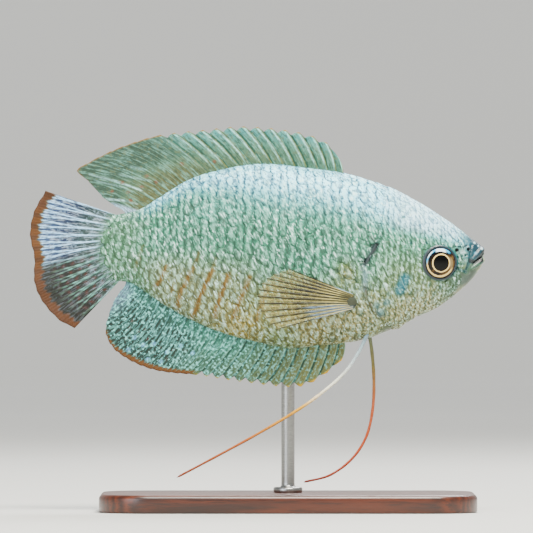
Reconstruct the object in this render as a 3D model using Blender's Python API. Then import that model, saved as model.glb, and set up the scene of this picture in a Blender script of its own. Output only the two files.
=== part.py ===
"""Male dwarf gourami, powder-blue form: a life-size display model on a one-rod stand.

Sizes are in millimetres until they become mesh points, where MM turns them into metres.
+X points to the snout, +Z is up, the fish's right side faces -Y, and the origin is under the
middle of the stand's base. A place on the fish is given by s, its distance behind the tip of
the snout, and h, its height above that tip.
"""
import math

import bmesh
import bpy
from mathutils import Matrix, Vector

MM = 0.001
GAP = 0.3

# The fish in its frame
SNOUT_X = 32.3
SNOUT_Z = 42.2
BODY_LENGTH = 60.5

# Body outline: (s, h) along the back and the belly, and (s, half width) seen from above
BACK = ((0.0, 0.3), (0.5, 1.5), (2.4, 3.0), (6.2, 5.8), (9.9, 8.2), (15.5, 11.1), (22.7, 13.4),
        (28.2, 14.2), (36.6, 15.0), (43.5, 14.0), (48.8, 12.3), (53.9, 9.2), (57.0, 7.4), (60.5, 6.6))
BELLY = ((0.0, -0.1), (0.2, -1.3), (1.2, -3.0), (4.3, -6.2), (8.1, -8.9), (11.2, -10.3), (16.0, -12.7),
         (21.0, -14.2), (27.9, -15.0), (32.0, -15.4), (37.9, -14.2), (44.3, -12.4), (50.4, -9.6),
         (54.6, -7.0), (58.0, -4.7), (60.5, -4.2))
WIDTH = ((0.0, 0.5), (0.5, 1.05), (1.2, 1.5), (2.4, 2.1), (4.3, 2.9), (7.3, 3.85), (11.0, 4.6), (16.0, 5.15),
         (21.0, 5.25), (28.0, 5.0), (36.0, 4.3), (44.0, 3.3), (52.0, 2.2), (58.0, 1.5), (60.5, 1.2))
WIDEST_RISE = 0.1
BACK_FULLNESS = 0.9
BELLY_FULLNESS = 1.05
TAIL_BULGE = 2.2
BULGE_START = 54.0
STATIONS = 52
AROUND = 28

# Gill cover: its free edge as (h, s), from the nape to the throat
GILL_EDGE = ((15.0, 14.6), (9.0, 16.1), (3.5, 17.3), (1.2, 18.3), (-1.5, 19.6), (-5.0, 19.9), (-8.2, 18.9),
             (-10.2, 17.2), (-12.0, 14.4), (-14.5, 11.0))
GILL_RIM = 0.32
GILL_RIM_REACH = 2.2
PREOPERCLE_BEFORE = 6.0
PREOPERCLE_DEPTH = 0.16
TAIL_CUT = 53.5

# Eye
EYE_S = 7.25
EYE_H = -1.3
EYE_RADIUS = 2.45
EYE_DOME = 0.55
EYE_DEPTH = 1.7
SOCKET_REACH = 2.5
ORBIT_RIM = 0.16

# Mouth: lip centre lines as (s, h, half width) from the middle to the corner
UPPER_LIP = ((0.65, 0.8, 0.0), (0.75, 0.65, 0.6), (1.15, 0.1, 1.15), (1.95, -0.75, 1.6))
LOWER_LIP = ((0.35, -0.85, 0.0), (0.5, -1.0, 0.6), (1.1, -1.55, 1.15), (2.1, -2.2, 1.6))
UPPER_LIP_RADIUS = 0.72
LOWER_LIP_RADIUS = 0.5
NOSTRILS = ((4.5, 0.8), (2.6, 0.9))
NOSTRIL_RADIUS = 0.26
NOSTRIL_DEPTH = 0.5

# Fins: key rays as (ray number, root s, tip s, tip h); roots lie on the back or the belly
FIN_THICKNESS = 0.5
RAY_HEIGHT = 0.17
ROOT_BURIED = 0.8
DORSAL_KEYS = ((0, 23.2, 24.1, 16.3), (1, 24.3, 25.9, 18.5), (3, 27.2, 30.4, 20.2), (7, 34.5, 39.5, 21.2),
               (10, 39.9, 46.3, 20.6), (13, 45.0, 53.3, 19.8), (16, 49.0, 59.6, 17.9), (18, 51.3, 63.6, 16.1),
               (19, 52.4, 65.6, 15.0), (20, 53.6, 67.1, 13.9), (21, 55.2, 65.0, 11.9), (22, 57.0, 62.9, 9.6),
               (23, 58.8, 60.8, 8.0))
DORSAL_SPINES = 14
DORSAL_NOTCH = 1.0
ANAL_KEYS = ((0, 23.0, 23.5, -17.4), (1, 24.0, 25.8, -19.4), (3, 27.2, 30.1, -21.7), (8, 35.7, 40.2, -20.9),
             (12, 41.8, 47.4, -19.8), (15, 46.3, 51.9, -19.4), (17, 48.9, 55.0, -18.8), (19, 51.2, 58.0, -17.6),
             (21, 53.2, 60.6, -15.9), (22, 54.2, 61.6, -14.7), (23, 55.1, 62.3, -13.2), (24, 56.0, 62.3, -11.5),
             (25, 57.0, 61.8, -9.7), (26, 58.0, 61.1, -7.8), (27, 59.0, 60.0, -6.0))
ANAL_SPINES = 15
ANAL_NOTCH = 1.0

# Tail fin: key rays as (ray number, tip s, tip h); the roots follow the bulged end of the body
TAIL_KEYS = ((0, 72.3, 10.6), (2, 74.2, 7.2), (4, 74.9, 3.4), (6, 74.2, -0.4), (8, 74.2, -4.3), (10, 72.9, -7.6),
             (12, 70.0, -10.8), (13, 67.5, -12.1))
TAIL_ROOT_TOP = 6.3
TAIL_ROOT_BOTTOM = -3.9
TAIL_ROOT_THICKNESS = 2.0
TAIL_FOLD = 1.3

# Pectoral fin: key rays as (ray number, root h, tip s, tip h)
PECTORAL_S = 21.6
PECTORAL_KEYS = ((0, -6.4, 32.2, -2.2), (3, -7.0, 35.8, -3.8), (6, -7.7, 37.4, -6.8), (9, -8.4, 36.2, -10.4),
                 (11, -8.9, 34.2, -12.3))
PECTORAL_STANDOFF = 0.15
PECTORAL_FLARE = 0.085
PECTORAL_LOBE = (1.9, 0.75, 1.75)

# Pelvic feelers: centre lines as (s, h, distance from the middle plane)
RIGHT_FEELER = ((19.2, -13.0, 1.3), (20.9, -16.4, 1.9), (23.2, -19.6, 2.4), (27.4, -23.2, 2.9),
                (31.5, -26.0, 3.2), (37.6, -29.6, 3.4), (44.2, -33.2, 3.4), (50.6, -36.6, 3.2))
LEFT_FEELER = ((18.9, -12.9, 1.3), (18.4, -16.4, 2.0), (18.1, -20.9, 2.8), (18.3, -25.5, 3.6),
               (19.3, -29.9, 4.4), (21.6, -33.6, 5.2), (25.3, -36.4, 5.9), (29.7, -37.6, 6.4))
FEELER_ROOT_RADIUS = 0.4
FEELER_TIP_RADIUS = 0.2
FEELER_POINTS = 26

# Stand
BASE_SIZE = (62.0, 34.0, 3.0)
BASE_CORNER = 8.0
BASE_CHAMFER = 0.8
ROD_RADIUS = 1.1
ROD_S = 32.3
ROD_Y = 2.3
ROD_REACH = 8.0


def curve_through(points, x, column=1):
    """Value at x of the smooth line through rows that hold x first and the value in a column."""
    last = len(points) - 1
    index = 0
    while index < last - 1 and x > points[index + 1][0]:
        index += 1

    def slope(at):
        left = max(at - 1, 0)
        right = min(at + 1, last)
        return (points[right][column] - points[left][column]) / (points[right][0] - points[left][0])

    start, end = points[index], points[index + 1]
    span = end[0] - start[0]
    t = min(max((x - start[0]) / span, 0.0), 1.0)
    return ((2 * t ** 3 - 3 * t ** 2 + 1) * start[column] + (t ** 3 - 2 * t ** 2 + t) * span * slope(index)
            + (3 * t ** 2 - 2 * t ** 3) * end[column] + (t ** 3 - t ** 2) * span * slope(index + 1))


def outline(points, s):
    """Height or half width at s, smooth up to the blunt end of the snout."""
    rooted = [(math.sqrt(row[0]), row[1]) for row in points]
    return curve_through(rooted, math.sqrt(max(s, 0.0)))


def section(s):
    """Top, bottom, widest height and half width of the body's section at s."""
    top, bottom = outline(BACK, s), outline(BELLY, s)
    widest = (top + bottom) / 2 + WIDEST_RISE * (top - bottom) / 2
    return top, bottom, widest, outline(WIDTH, s)


def tail_bulge(s, height, top, bottom):
    """How far a point of the body's rear end is pushed back, most at mid height."""
    ramp = min(max((s - BULGE_START) / (BODY_LENGTH - BULGE_START), 0.0), 1.0)
    level = (2 * height - top - bottom) / (top - bottom)
    return TAIL_BULGE * ramp ** 2 * (1.0 - min(level ** 2, 1.0))


def flank(s, h):
    """Half width of the body at s and h."""
    top, bottom, widest, half = section(s)
    reach = top - widest if h > widest else widest - bottom
    power = BACK_FULLNESS if h > widest else BELLY_FULLNESS
    level = min(abs(h - widest) / reach, 1.0)
    return half * math.sqrt(1.0 - level ** 2) ** power


def head_relief(s, h):
    """Extra half width on the head: the raised edge of the gill cover, its groove and the orbit."""
    before = curve_through(sorted(GILL_EDGE), h) - s
    rim = GILL_RIM * math.exp(-(before / GILL_RIM_REACH) ** 2)
    groove = PREOPERCLE_DEPTH * math.exp(-((before - PREOPERCLE_BEFORE) / 0.9) ** 2)
    orbit = math.hypot(s - EYE_S, h - EYE_H) - EYE_RADIUS - GAP
    return rim - groove + ORBIT_RIM * math.exp(-(orbit / 0.7) ** 2)


def place(s, h, y=0.0):
    """World point, in metres, of a place on the fish."""
    return Vector((SNOUT_X - s, y, SNOUT_Z + h)) * MM


def make_object(name, mesh_builder):
    """New object in the scene from a bmesh, with its faces pointing out."""
    bmesh.ops.recalc_face_normals(mesh_builder, faces=mesh_builder.faces)
    mesh = bpy.data.meshes.new(name)
    mesh_builder.to_mesh(mesh)
    mesh_builder.free()
    thing = bpy.data.objects.new(name, mesh)
    bpy.context.scene.collection.objects.link(thing)
    return thing


def evaluated_mesh(thing):
    """Mesh of an object with its modifiers applied."""
    bpy.context.view_layer.update()
    graph = bpy.context.evaluated_depsgraph_get()
    return bpy.data.meshes.new_from_object(thing.evaluated_get(graph))


def bake(thing):
    """Replace an object's mesh by its evaluated one and drop the modifiers."""
    mesh = evaluated_mesh(thing)
    thing.modifiers.clear()
    thing.data = mesh


def boolean(target, operation, tool, keep_tool=False):
    """Apply one Boolean with another object to a target."""
    modifier = target.modifiers.new("Boolean", "BOOLEAN")
    modifier.operation = operation
    modifier.solver = "EXACT"
    modifier.object = tool
    bake(target)
    if not keep_tool:
        bpy.data.objects.remove(tool)


def unite(target, pieces):
    """Join closed pieces to a target with one Boolean union."""
    group = bpy.data.collections.new("pieces")
    bpy.context.scene.collection.children.link(group)
    for piece in pieces:
        group.objects.link(piece)
    modifier = target.modifiers.new("Union", "BOOLEAN")
    modifier.operation = "UNION"
    modifier.operand_type = "COLLECTION"
    modifier.collection = group
    modifier.solver = "EXACT"
    bake(target)
    for piece in pieces:
        bpy.data.objects.remove(piece)
    bpy.data.collections.remove(group)


def keep_largest(thing):
    """Keep only the largest closed surface of an object."""
    shape = bmesh.new()
    shape.from_mesh(thing.data)
    shape.faces.ensure_lookup_table()
    seen, islands = set(), []
    for face in shape.faces:
        if face in seen:
            continue
        island, front = [], [face]
        seen.add(face)
        while front:
            current = front.pop()
            island.append(current)
            for edge in current.edges:
                for neighbour in edge.link_faces:
                    if neighbour not in seen:
                        seen.add(neighbour)
                        front.append(neighbour)
        islands.append(island)
    islands.sort(key=lambda island: sum(face.calc_area() for face in island))
    scraps = [face for island in islands[:-1] for face in island]
    bmesh.ops.delete(shape, geom=scraps, context="FACES")
    loose = [vertex for vertex in shape.verts if not vertex.link_faces]
    bmesh.ops.delete(shape, geom=loose, context="VERTS")
    shape.to_mesh(thing.data)
    shape.free()


def close_ring(builder, ring):
    """Close a ring of an even number of points with strips from one side to the other."""
    count = len(ring)
    for step in range(count // 2):
        strip = (ring[step], ring[step + 1], ring[count - 1 - step], ring[(count - step) % count])
        corners = list(dict.fromkeys(strip))
        if len(corners) > 2:
            builder.faces.new(corners)


def body(name, grow=0.0, relief=None):
    """Loft the whole body, larger all round by grow, with relief added to its half width."""
    builder = bmesh.new()
    rings = []
    for station in range(STATIONS + 1):
        s = BODY_LENGTH * (station / STATIONS) ** 1.5
        top, bottom, widest, half = section(s)
        ring = []
        for step in range(AROUND):
            angle = math.pi / 2 - 2 * math.pi * step / AROUND
            up, out = math.sin(angle), math.cos(angle)
            reach = top - widest if up > 0 else widest - bottom
            power = BACK_FULLNESS if up > 0 else BELLY_FULLNESS
            h = widest + up * reach
            side = math.copysign(1.0, out) if abs(out) > 1e-6 else 0.0
            y = half * abs(out) ** power
            y += relief(s, h) * min(abs(out) * 1.5, 1.0) if relief else 0.0
            back = s + tail_bulge(s, h, top, bottom)
            end = grow * (-1 if station == 0 else 1 if station == STATIONS else 0)
            ring.append(builder.verts.new(place(back + end, h + grow * up, side * (y + grow * abs(out)))))
        rings.append(ring)
    for first, second in zip(rings, rings[1:]):
        for step in range(AROUND):
            after = (step + 1) % AROUND
            builder.faces.new((first[step], first[after], second[after], second[step]))
    close_ring(builder, rings[0])
    close_ring(builder, rings[-1])
    return make_object(name, builder)


def front_block(name, edge_shift, reach=40.0, half_depth=12.0):
    """Block that holds all in front of the gill cover's edge, moved back by edge_shift."""
    builder = bmesh.new()
    heights = [row[0] for row in GILL_EDGE]
    steps = 28
    edge = []
    for step in range(steps + 1):
        h = heights[0] + (heights[-1] - heights[0]) * step / steps
        s = curve_through(sorted(GILL_EDGE), h)
        slope = (curve_through(sorted(GILL_EDGE), h + 0.1) - curve_through(sorted(GILL_EDGE), h - 0.1)) / 0.2
        length = math.hypot(1.0, slope)
        edge.append((s + edge_shift / length, h - edge_shift * slope / length))
    corners = edge + [(edge[-1][0] - reach, edge[-1][1]), (edge[0][0] - reach, edge[0][1])]
    sides = [[builder.verts.new(place(s, h, y)) for s, h in corners] for y in (-half_depth, half_depth)]
    builder.faces.new(sides[0])
    builder.faces.new(sides[1])
    for index in range(len(corners)):
        after = (index + 1) % len(corners)
        builder.faces.new((sides[0][index], sides[0][after], sides[1][after], sides[1][index]))
    return make_object(name, builder)


def slab(name, s_from, s_to, half=30.0):
    """Block that fills the space between two distances behind the snout."""
    builder = bmesh.new()
    bmesh.ops.create_cube(builder, size=1.0)
    size = Matrix.Diagonal(((s_to - s_from) * MM, half * MM, 2 * half * MM, 1.0))
    middle = Matrix.Translation(place((s_from + s_to) / 2, 0.0))
    bmesh.ops.transform(builder, matrix=middle @ size, verts=builder.verts)
    return make_object(name, builder)


def blob(name, centre, radii, segments=16, rings=10):
    """Ellipsoid with its centre and its radii along X, Y and Z in millimetres."""
    builder = bmesh.new()
    bmesh.ops.create_uvsphere(builder, u_segments=segments, v_segments=rings, radius=MM)
    size = Matrix.Diagonal((radii[0], radii[1], radii[2], 1.0))
    bmesh.ops.transform(builder, matrix=Matrix.Translation(centre) @ size, verts=builder.verts)
    return make_object(name, builder)


def tube(name, points, radii, sides=2):
    """Round tube through world points, with a radius in millimetres at each."""
    data = bpy.data.curves.new(name, "CURVE")
    data.dimensions = "3D"
    data.bevel_depth = MM
    data.bevel_resolution = sides
    data.use_fill_caps = True
    spline = data.splines.new("POLY")
    spline.points.add(len(points) - 1)
    for point, place_at, radius in zip(spline.points, points, radii):
        point.co = (*place_at, 1.0)
        point.radius = radius
    curve = bpy.data.objects.new(name, data)
    bpy.context.scene.collection.objects.link(curve)
    mesh = evaluated_mesh(curve)
    bpy.data.objects.remove(curve)
    builder = bmesh.new()
    builder.from_mesh(mesh)
    bmesh.ops.remove_doubles(builder, verts=builder.verts, dist=0.00001)
    return make_object(name, builder)


def fin(name, rays, rows, root_at, tip_at, notch_at, half_at, side_at, split=None):
    """Closed fin of a membrane with raised rays.

    Columns lie on the rays and half way between them. root_at and tip_at give the (s, h) of a
    ray number, notch_at the depth of the margin between rays, half_at the half thickness and
    side_at the distance from the middle plane for a ray number and a share of its length.
    """
    builder = bmesh.new()
    per_ray = 4 if split else 2
    columns = (rays - 1) * per_ray + 1
    faces = {1: [], -1: []}
    for column in range(columns):
        number = column / per_ray
        root, tip = root_at(number), tip_at(number)
        length = math.hypot(tip[0] - root[0], tip[1] - root[1])
        inset = notch_at(number) * (1.0 - abs(2 * (number % 1.0 if number % 1.0 else 1.0) - 1.0)) / length
        for sign in faces:
            row_points = []
            for row in range(rows + 1):
                v = (row / rows) * (1.0 - inset)
                s = root[0] + (tip[0] - root[0]) * v
                h = root[1] + (tip[1] - root[1]) * v
                y = side_at(number, v) + sign * half_at(number, row / rows)
                row_points.append(builder.verts.new(place(s, h, y)))
            faces[sign].append(row_points)
    for column in range(columns - 1):
        for row in range(rows):
            for sign in faces:
                a, b = faces[sign][column][row], faces[sign][column + 1][row]
                c, d = faces[sign][column + 1][row + 1], faces[sign][column][row + 1]
                builder.faces.new((a, b, c))
                builder.faces.new((a, c, d))
    border = ([(column, 0) for column in range(columns)] + [(columns - 1, row) for row in range(1, rows + 1)]
              + [(column, rows) for column in range(columns - 2, -1, -1)]
              + [(0, row) for row in range(rows - 1, 0, -1)])
    for (c1, r1), (c2, r2) in zip(border, border[1:] + border[:1]):
        builder.faces.new((faces[1][c1][r1], faces[1][c2][r2], faces[-1][c2][r2], faces[-1][c1][r1]))
    return make_object(name, builder)


def on_ray(number):
    """How much a column lies on a ray: 1 on it, 0 half way to the next."""
    return abs(2 * (number % 1.0) - 1.0)


def fin_half(number, v, root_half=0.45):
    """Half thickness of a fin: membrane and ray, thicker at the root and thinner at the tip."""
    root = (root_half - FIN_THICKNESS / 2) * (1.0 - v) ** 4
    ridge = RAY_HEIGHT * on_ray(number) * (1.0 - 0.6 * v)
    return FIN_THICKNESS / 2 * (1.0 - 0.25 * v ** 3) + max(root, 0.0) + ridge


def keyed(keys, column, number):
    """Smooth value of one column of a table of key rays."""
    return curve_through(keys, number, column)


def median_fin(name, keys, edge, buried, spines, notch, rows=5):
    """Dorsal or anal fin, whose roots lie on an outline of the body."""
    rays = keys[-1][0] + 1

    def root_at(number):
        s = keyed(keys, 1, number)
        return s, outline(edge, s) + buried

    def tip_at(number):
        return keyed(keys, 2, number), keyed(keys, 3, number)

    def notch_at(number):
        return notch if number < spines - 1 else notch * 0.2

    return fin(name, rays, rows, root_at, tip_at, notch_at, fin_half, lambda number, v: 0.0)


def tail_fin(name, rows=6):
    """Tail fin, a slightly folded fan of branched rays on the end of the body."""
    rays = TAIL_KEYS[-1][0] + 1

    def root_at(number):
        share = number / (rays - 1)
        h = TAIL_ROOT_TOP + (TAIL_ROOT_BOTTOM - TAIL_ROOT_TOP) * share
        back = TAIL_BULGE * (1.0 - (2 * share - 1.0) ** 2)
        return BODY_LENGTH - ROOT_BURIED + back, h

    def tip_at(number):
        return keyed(TAIL_KEYS, 1, number), keyed(TAIL_KEYS, 2, number)

    def side_at(number, v):
        share = number / (rays - 1)
        return TAIL_FOLD * v ** 2 * (1.0 - (2 * share - 1.0) ** 2)

    def half_at(number, v):
        middle = math.sqrt(max(1.0 - (2 * number / (rays - 1) - 1.0) ** 2, 0.0))
        root = (TAIL_ROOT_THICKNESS - FIN_THICKNESS) / 2 * middle * max(1.0 - 2.2 * v, 0.0) ** 2
        beside = on_ray(number * 2 + 0.5)
        branch = beside if v > 0.5 else max(beside, on_ray(number) ** 2)
        return FIN_THICKNESS / 2 * (1.0 - 0.25 * v ** 3) + root + RAY_HEIGHT * branch * (1.0 - 0.5 * v)

    return fin(name, rays, rows, root_at, tip_at, lambda number: 0.25, half_at, side_at, split=True)


def pectoral_fin(name, side, clear, rows=5):
    """Pectoral fin with its fleshy root, folded back along the flank of one side."""
    rays = PECTORAL_KEYS[-1][0] + 1
    middle = flank(PECTORAL_S, -7.7)

    def root_at(number):
        return PECTORAL_S, keyed(PECTORAL_KEYS, 1, number)

    def tip_at(number):
        return keyed(PECTORAL_KEYS, 2, number), keyed(PECTORAL_KEYS, 3, number)

    def side_at(number, v):
        length = tip_at(number)[0] - PECTORAL_S
        return side * (middle + PECTORAL_STANDOFF + PECTORAL_FLARE * length * v)

    thing = fin(name, rays, rows, root_at, tip_at, lambda number: 0.5, fin_half, side_at)
    lobe = blob("lobe", place(PECTORAL_S + 0.3, -7.7, side * middle), PECTORAL_LOBE, 14, 8)
    unite(thing, [lobe])
    boolean(thing, "DIFFERENCE", clear, keep_tool=True)
    keep_largest(thing)
    return thing


def feeler(name, points, side, clear):
    """Pelvic fin of one long, thin, tapering feeler."""
    keys = [(index, *point) for index, point in enumerate(points)]
    places, radii = [], []
    for step in range(FEELER_POINTS):
        share = step / (FEELER_POINTS - 1)
        number = share * (len(points) - 1)
        places.append(place(keyed(keys, 1, number), keyed(keys, 2, number), side * keyed(keys, 3, number)))
        radii.append(FEELER_ROOT_RADIUS + (FEELER_TIP_RADIUS - FEELER_ROOT_RADIUS) * share)
    thing = tube(name, places, radii, 1)
    boolean(thing, "DIFFERENCE", clear, keep_tool=True)
    keep_largest(thing)
    return thing


def eye(name, side, grow=0.0):
    """Eyeball of one side: a turned shape with a low dome in front and a round back.

    Grown, it is the cutter of the socket, with a straight wall in place of the dome.
    """
    radius = EYE_RADIUS + grow
    profile = [(0.0, SOCKET_REACH), (radius, SOCKET_REACH)] if grow else []
    for step in range(0 if grow else 4):
        share = step / 4
        profile.append((radius * math.sin(share * math.pi / 2), EYE_DOME * math.cos(share * math.pi / 2)))
    for step in range(6):
        share = step / 5
        depth = -(EYE_DEPTH + grow) * math.sin(share * math.pi / 2)
        profile.append((radius * math.cos(share * math.pi / 2) ** 0.7 if share < 1 else 0.0, depth))
    builder = bmesh.new()
    points = [builder.verts.new((r * MM, 0.0, z * MM)) for r, z in profile]
    for first, second in zip(points, points[1:]):
        builder.edges.new((first, second))
    bmesh.ops.spin(builder, geom=builder.verts[:] + builder.edges[:], axis=(0, 0, 1), cent=(0, 0, 0),
                   angle=2 * math.pi, steps=24, use_merge=True)
    bmesh.ops.remove_doubles(builder, verts=builder.verts, dist=0.00001)
    step = EYE_RADIUS
    across = (flank(EYE_S + step, EYE_H) - flank(EYE_S - step, EYE_H)) / (2 * step)
    upward = (flank(EYE_S, EYE_H + step) - flank(EYE_S, EYE_H - step)) / (2 * step)
    normal = Vector((across, side, -upward)).normalized()
    turn = Vector((0, 0, 1)).rotation_difference(normal).to_matrix().to_4x4()
    centre = place(EYE_S, EYE_H, side * (flank(EYE_S, EYE_H) - 0.1))
    bmesh.ops.transform(builder, matrix=Matrix.Translation(centre) @ turn, verts=builder.verts)
    return make_object(name, builder)


def lip(name, half_line, radius):
    """Lip round the front of the snout, from one corner of the mouth to the other."""
    line = [(s, h, -y) for s, h, y in reversed(half_line[1:])] + list(half_line)
    keys = [(index, *point) for index, point in enumerate(line)]
    places, radii = [], []
    steps = 14
    for step in range(steps + 1):
        share = step / steps
        number = share * (len(line) - 1)
        places.append(place(keyed(keys, 1, number), keyed(keys, 2, number), keyed(keys, 3, number)))
        radii.append(radius * (0.65 + 0.35 * math.sin(math.pi * share)))
    return tube(name, places, radii, 2)


def stand_base(name):
    """Flat base with round corners and a chamfered top edge."""
    builder = bmesh.new()
    bmesh.ops.create_cube(builder, size=1.0)
    size = Matrix.Diagonal((*(side * MM for side in BASE_SIZE), 1.0))
    lift = Matrix.Translation((0.0, 0.0, BASE_SIZE[2] / 2 * MM))
    bmesh.ops.transform(builder, matrix=lift @ size, verts=builder.verts)
    upright = [edge for edge in builder.edges if abs(edge.verts[0].co.z - edge.verts[1].co.z) > 1e-6]
    bmesh.ops.bevel(builder, geom=upright, offset=BASE_CORNER * MM, segments=6, profile=0.5, affect="EDGES")
    top = BASE_SIZE[2] * MM
    rim = [edge for edge in builder.edges
           if all(abs(vertex.co.z - top) < 1e-6 for vertex in edge.verts) and len(edge.link_faces) == 2
           and any(abs(face.normal.z) < 0.5 for face in edge.link_faces)]
    bmesh.ops.bevel(builder, geom=rim, offset=BASE_CHAMFER * MM, segments=1, profile=0.5, affect="EDGES")
    return make_object(name, builder)


def stand_rod(name, clear):
    """Round rod from the base up to the lower flank, cut to the body's shape."""
    bottom = BASE_SIZE[2] + GAP
    top = SNOUT_Z + outline(BELLY, ROD_S) + ROD_REACH
    builder = bmesh.new()
    bmesh.ops.create_cone(builder, cap_ends=True, segments=16, radius1=ROD_RADIUS * MM,
                          radius2=ROD_RADIUS * MM, depth=(top - bottom) * MM)
    middle = Vector((SNOUT_X - ROD_S, ROD_Y, (top + bottom) / 2)) * MM
    bmesh.ops.transform(builder, matrix=Matrix.Translation(middle), verts=builder.verts)
    thing = make_object(name, builder)
    boolean(thing, "DIFFERENCE", clear, keep_tool=True)
    keep_largest(thing)
    return thing


def finish(name, thing, colour, roughness, metallic, group):
    """Give a node its own material and collection."""
    material = bpy.data.materials.new(name)
    material.use_nodes = True
    shader = material.node_tree.nodes["Principled BSDF"]
    shader.inputs["Base Color"].default_value = (*colour, 1.0)
    shader.inputs["Roughness"].default_value = roughness
    shader.inputs["Metallic"].default_value = metallic
    thing.data.materials.clear()
    thing.data.materials.append(material)
    thing.name = name
    for owner in list(thing.users_collection):
        owner.objects.unlink(thing)
    group.objects.link(thing)


def make_head():
    """Head with gill covers, sockets, lips and nostrils, up to the gill covers' free edge."""
    head = body("head", relief=head_relief)
    boolean(head, "INTERSECT", front_block("front", 0.0))
    unite(head, [lip("upper", UPPER_LIP, UPPER_LIP_RADIUS), lip("lower", LOWER_LIP, LOWER_LIP_RADIUS)])
    for side in (-1, 1):
        boolean(head, "DIFFERENCE", eye("socket", side, GAP))
        for s, h in NOSTRILS:
            surface = flank(s, h)
            pit = blob("pit", place(s, h, side * surface), (NOSTRIL_RADIUS, NOSTRIL_DEPTH, NOSTRIL_RADIUS), 8, 6)
            boolean(head, "DIFFERENCE", pit)
    keep_largest(head)
    return head


def make_model():
    """Build every node of the fish and its stand."""
    for thing in list(bpy.data.objects):
        bpy.data.objects.remove(thing)
    group = bpy.data.collections.new("Dwarf gourami")
    bpy.context.scene.collection.children.link(group)
    clear = body("clear", grow=GAP)

    trunk = body("trunk")
    boolean(trunk, "DIFFERENCE", front_block("front", GAP))
    boolean(trunk, "DIFFERENCE", slab("rear", TAIL_CUT, BODY_LENGTH + 20.0))
    keep_largest(trunk)
    stem = body("tail_stem")
    boolean(stem, "DIFFERENCE", slab("fore", -10.0, TAIL_CUT + GAP))
    keep_largest(stem)

    dorsal = median_fin("dorsal_fin", DORSAL_KEYS, BACK, -ROOT_BURIED, DORSAL_SPINES, DORSAL_NOTCH)
    anal = median_fin("anal_fin", ANAL_KEYS, BELLY, ROOT_BURIED, ANAL_SPINES, ANAL_NOTCH)
    caudal = tail_fin("caudal_fin")
    for thing in (dorsal, anal, caudal):
        boolean(thing, "DIFFERENCE", clear, keep_tool=True)
        keep_largest(thing)

    blue, grey, gold = (0.36, 0.52, 0.50), (0.30, 0.42, 0.38), (0.55, 0.42, 0.16)
    finish("head", make_head(), (0.55, 0.62, 0.60), 0.4, 0.0, group)
    finish("trunk", trunk, (0.45, 0.56, 0.50), 0.4, 0.0, group)
    finish("tail_stem", stem, (0.42, 0.52, 0.47), 0.4, 0.0, group)
    finish("dorsal_fin", dorsal, grey, 0.5, 0.0, group)
    finish("anal_fin", anal, blue, 0.5, 0.0, group)
    finish("caudal_fin", caudal, (0.42, 0.46, 0.55), 0.5, 0.0, group)
    for side, word, line in ((-1, "right", RIGHT_FEELER), (1, "left", LEFT_FEELER)):
        finish(f"pectoral_fin_{word}", pectoral_fin("pectoral", side, clear), (0.30, 0.28, 0.14), 0.4, 0.0, group)
        finish(f"pelvic_feeler_{word}", feeler("feeler", line, side, clear), gold, 0.4, 0.0, group)
        finish(f"eye_{word}", eye("eye", side), (0.03, 0.025, 0.02), 0.1, 0.0, group)
    finish("stand_rod", stand_rod("rod", clear), (0.62, 0.62, 0.60), 0.3, 1.0, group)
    finish("stand_base", stand_base("base"), (0.06, 0.035, 0.02), 0.45, 0.0, group)
    bpy.data.objects.remove(clear)


make_model()
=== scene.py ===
"""Looks of the dwarf gourami display model: skin, scales, fins, eyes, stand, floor and light.

Sizes are in millimetres until they become mesh points. A place on the fish is given by s, its
distance behind the tip of the snout, and h, its height above that tip. +X points to the snout,
+Z is up, and the fish's right side faces -Y, where the camera stands.
"""

import logging
import math
from dataclasses import dataclass, field
from enum import Enum

import bmesh
import bpy
import numpy as np
from mathutils import Matrix, Vector


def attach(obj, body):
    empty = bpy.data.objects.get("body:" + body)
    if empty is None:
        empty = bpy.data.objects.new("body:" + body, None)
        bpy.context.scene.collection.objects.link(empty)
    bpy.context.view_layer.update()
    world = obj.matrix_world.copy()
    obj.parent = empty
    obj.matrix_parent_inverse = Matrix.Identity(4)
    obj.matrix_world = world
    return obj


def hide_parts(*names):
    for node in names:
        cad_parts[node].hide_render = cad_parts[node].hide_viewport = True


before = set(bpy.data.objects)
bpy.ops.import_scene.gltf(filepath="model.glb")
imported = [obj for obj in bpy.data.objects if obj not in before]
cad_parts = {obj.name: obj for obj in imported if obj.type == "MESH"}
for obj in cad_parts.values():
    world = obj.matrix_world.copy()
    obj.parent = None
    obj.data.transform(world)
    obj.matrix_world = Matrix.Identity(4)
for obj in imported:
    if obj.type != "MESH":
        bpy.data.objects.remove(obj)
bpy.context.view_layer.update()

log = logging.getLogger("gourami")

MM = 0.001
BODY = "root"
PAINT_DEPTH = 1.45
PAINT_RICHNESS = 1.35

Rows = tuple[tuple[float, ...], ...]
Colour = tuple[int, int, int]
Array = np.ndarray
Places = tuple[Array, Array]
Thing = bpy.types.Object
Material = bpy.types.Material

# The fish in the frame of its solids
SNOUT_X = 32.3
SNOUT_Z = 42.2
BODY_LENGTH = 60.5
SECTION_STEPS = 901

# Share of the gill stroke's mask from which no scale has its root there
BARE_FROM = 0.25


class Side(Enum):
    """Side of the fish; the value is the sign of Y there."""

    RIGHT = -1
    LEFT = 1

    @property
    def word(self) -> str:
        """Name of the side in lower case."""
        return self.name.lower()


def smooth(low: float, high: float, x: Array) -> Array:
    """Soft step from 0 at low to 1 at high.

    Args:
        low: Value at which the step leaves 0.
        high: Value at which it reaches 1; it may be below low.
        x: Values to look up.

    Returns:
        The share of the step at each value.
    """
    t = np.clip((np.asarray(x, float) - low) / (high - low), 0.0, 1.0)
    return t * t * (3.0 - 2.0 * t)


def bell(x: Array, width: float) -> Array:
    """Bell curve that is 1 at 0 and 0.37 at one width."""
    return np.exp(-(np.asarray(x, float) / width) ** 2)


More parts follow.
